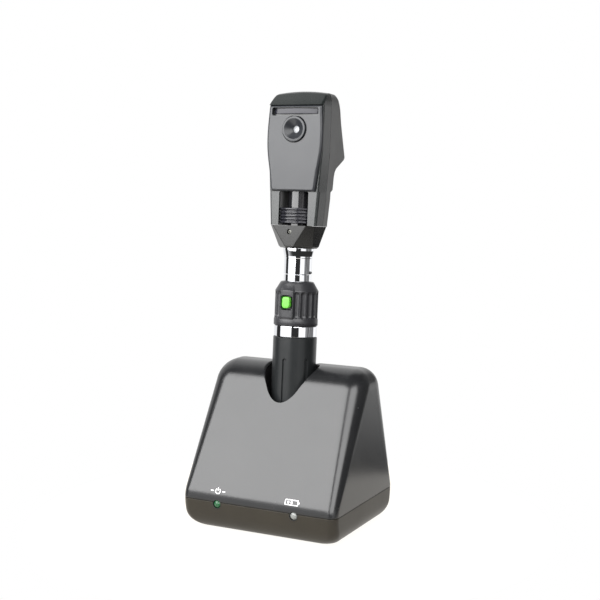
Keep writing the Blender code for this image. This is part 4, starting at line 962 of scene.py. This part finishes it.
# CAD nodes that stay keep their shape and get a finished material
KEEP = {"side_contact": "brass", "contact_plunger": "brass", "plunger_spring": "spring", "charge_board": "board",
        "dc_socket": "jack", "battery_cell": "battery", "battery_spring": "spring", "rheostat_track": "track",
        "contact_insulator": "nylon", "end_contact": "brass", "rod_insulator": "nylon", "contact_rod": "brass",
        "wiper": "brass", "button_spring": "spring", "mirror": "mirror", "mirror_mount": "inner",
        "condenser_lens": "glass", "lamp_spring": "spring", "slide_collar": "inner", "bulb_socket": "brass"}
for n, key in KEEP.items():
    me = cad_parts[n].data
    me.materials.clear()
    me.materials.append(M[key])

# ================================================================ floor, light, camera
bm = bmesh.new()
bmesh.ops.create_circle(bm, cap_ends=True, segments=128, radius=0.18)
me = bpy.data.meshes.new("floor")
bm.to_mesh(me)
bm.free()
floor = bpy.data.objects.new("floor", me)
floor.location.z = -0.0002
bpy.context.scene.collection.objects.link(floor)
m, nt, b, obj = begin("floor_pale")
mott = put(nt, "ShaderNodeTexNoise", {"Vector": obj, "Scale": 9.0, "Detail": 5.0})
nt.links.new(blend_rgb(nt, mott.outputs["Fac"], (0.14, 0.12, 0.09), (0.18, 0.16, 0.12)), b.inputs["Base Color"])
b.inputs["Roughness"].default_value = 0.9
b.inputs["Specular IOR Level"].default_value = 0.0
b.inputs["Emission Color"].default_value = (1.0, 0.985, 0.96, 1)
b.inputs["Emission Strength"].default_value = 0.97
me.materials.append(m)

world = bpy.data.worlds.new("studio")
bpy.context.scene.world = world
world.use_nodes = True
nt = world.node_tree
nt.nodes.clear()
way = put(nt, "ShaderNodeTexCoord").outputs["Generated"]
xyz = put(nt, "ShaderNodeSeparateXYZ", {"Vector": way})
az = calc(nt, "MULTIPLY", calc(nt, "ARCTAN2", xyz.outputs["X"], calc(nt, "MULTIPLY", xyz.outputs["Y"], -1.0)), 180 / pi)
el = calc(nt, "MULTIPLY", calc(nt, "ARCSINE", xyz.outputs["Z"]), 180 / pi)


def window(v, a, b, edge):
    return calc(nt, "MULTIPLY", remap(nt, v, a - edge, a + edge, 0, 1, True), remap(nt, v, b - edge, b + edge, 1, 0, True))


def panel(a0, a1, e0, e1, power, edge=2.0, eedge=3.0):
    return calc(nt, "MULTIPLY", calc(nt, "MULTIPLY", window(az, a0, a1, edge), window(el, e0, e1, eedge)), power)


parts = [panel(-61, 5, -18, 20, 1.25, 1.5, 3.0),         # white card under the key softbox
         panel(17, 62, 9, 60, 6.8, 2.5, 3.0),            # raised fill softbox, front right
         panel(45, 82, -6.8, 9, 1.2, 1.5, 1.2), panel(45, 82, -14, -6.8, 0.42, 1.5, 1.2), panel(82, 97, -12, 60, 0.25, 2.0, 2.0),
         panel(-61, 5, -60, -28, 4.0, 2.0, 4.0),         # low card under the head
         panel(104, 109, -12, 50, 0.5, 1.0), panel(115, 121, -12, 50, 0.25, 1.0),
         panel(121, 140, -13, 50, 0.16, 2.0, 1.5), panel(140, 173, -13, 6, 1.1, 2.0, 2.0), panel(140, 173, 8, 50, 0.3, 2.0, 3.0),
         panel(-176, -118, 14, 56, 0.35, 6.0, 8.0),       # high strip behind, left
         panel(173, 200, -60, 60, 0.9), panel(-200, -92, -60, 60, 0.9)]
total = parts[0]
for p in parts[1:]:
    total = calc(nt, "ADD", total, p)
total = calc(nt, "ADD", total, 0.03)
seen = put(nt, "ShaderNodeLightPath").outputs["Is Camera Ray"]
total = calc(nt, "ADD", calc(nt, "MULTIPLY", total, calc(nt, "SUBTRACT", 1.0, seen)), seen)
bg = put(nt, "ShaderNodeBackground", {"Color": (1, 1, 1, 1), "Strength": total})
out = put(nt, "ShaderNodeOutputWorld", {"Surface": bg.outputs[0]})

# key softbox: an upright rectangle at the front left, its lower edge above the stand's foot
KEY_AZ, KEY_D, KEY_Z0, KEY_Z1, KEY_HALF, KEY_L = radians(-28.0), 0.75, 0.225, 1.32, 0.50, 8.3
lamp = bpy.data.lights.new("key_softbox", "AREA")
lamp.shape, lamp.size, lamp.size_y = "RECTANGLE", 2 * KEY_HALF, KEY_Z1 - KEY_Z0
lamp.energy = KEY_L * pi * lamp.size * lamp.size_y
key = bpy.data.objects.new("key_softbox", lamp)
bpy.context.scene.collection.objects.link(key)
key.location = (sin(KEY_AZ) * KEY_D, -cos(KEY_AZ) * KEY_D, (KEY_Z0 + KEY_Z1) / 2)
key.rotation_euler = (radians(90), 0, KEY_AZ)
key.visible_camera = False

a, e, roll = radians(26.924), radians(7.24), radians(0.278)
back = Vector((sin(a) * cos(e), -cos(a) * cos(e), sin(e)))
right = Vector((cos(a), sin(a), 0))
up = back.cross(right)
r2, u2 = right * cos(roll) + up * sin(roll), up * cos(roll) - right * sin(roll)
pos = (Vector((0, 0, 150)) + back * 846.575 + r2 * 7.157 + u2 * 4.105) * MM
cam = bpy.data.objects.new("camera", bpy.data.cameras.new("camera"))
bpy.context.scene.collection.objects.link(cam)
cam.data.lens, cam.data.sensor_width = 75, 36
cam.data.clip_start, cam.data.clip_end = 0.01, 20
cam.matrix_world = Matrix(((r2.x, u2.x, back.x, pos.x), (r2.y, u2.y, back.y, pos.y), (r2.z, u2.z, back.z, pos.z),
                           (0, 0, 0, 1)))
bpy.context.scene.camera = cam
bpy.context.scene.view_settings.view_transform = "Standard"
bpy.context.scene.view_settings.look = "None"
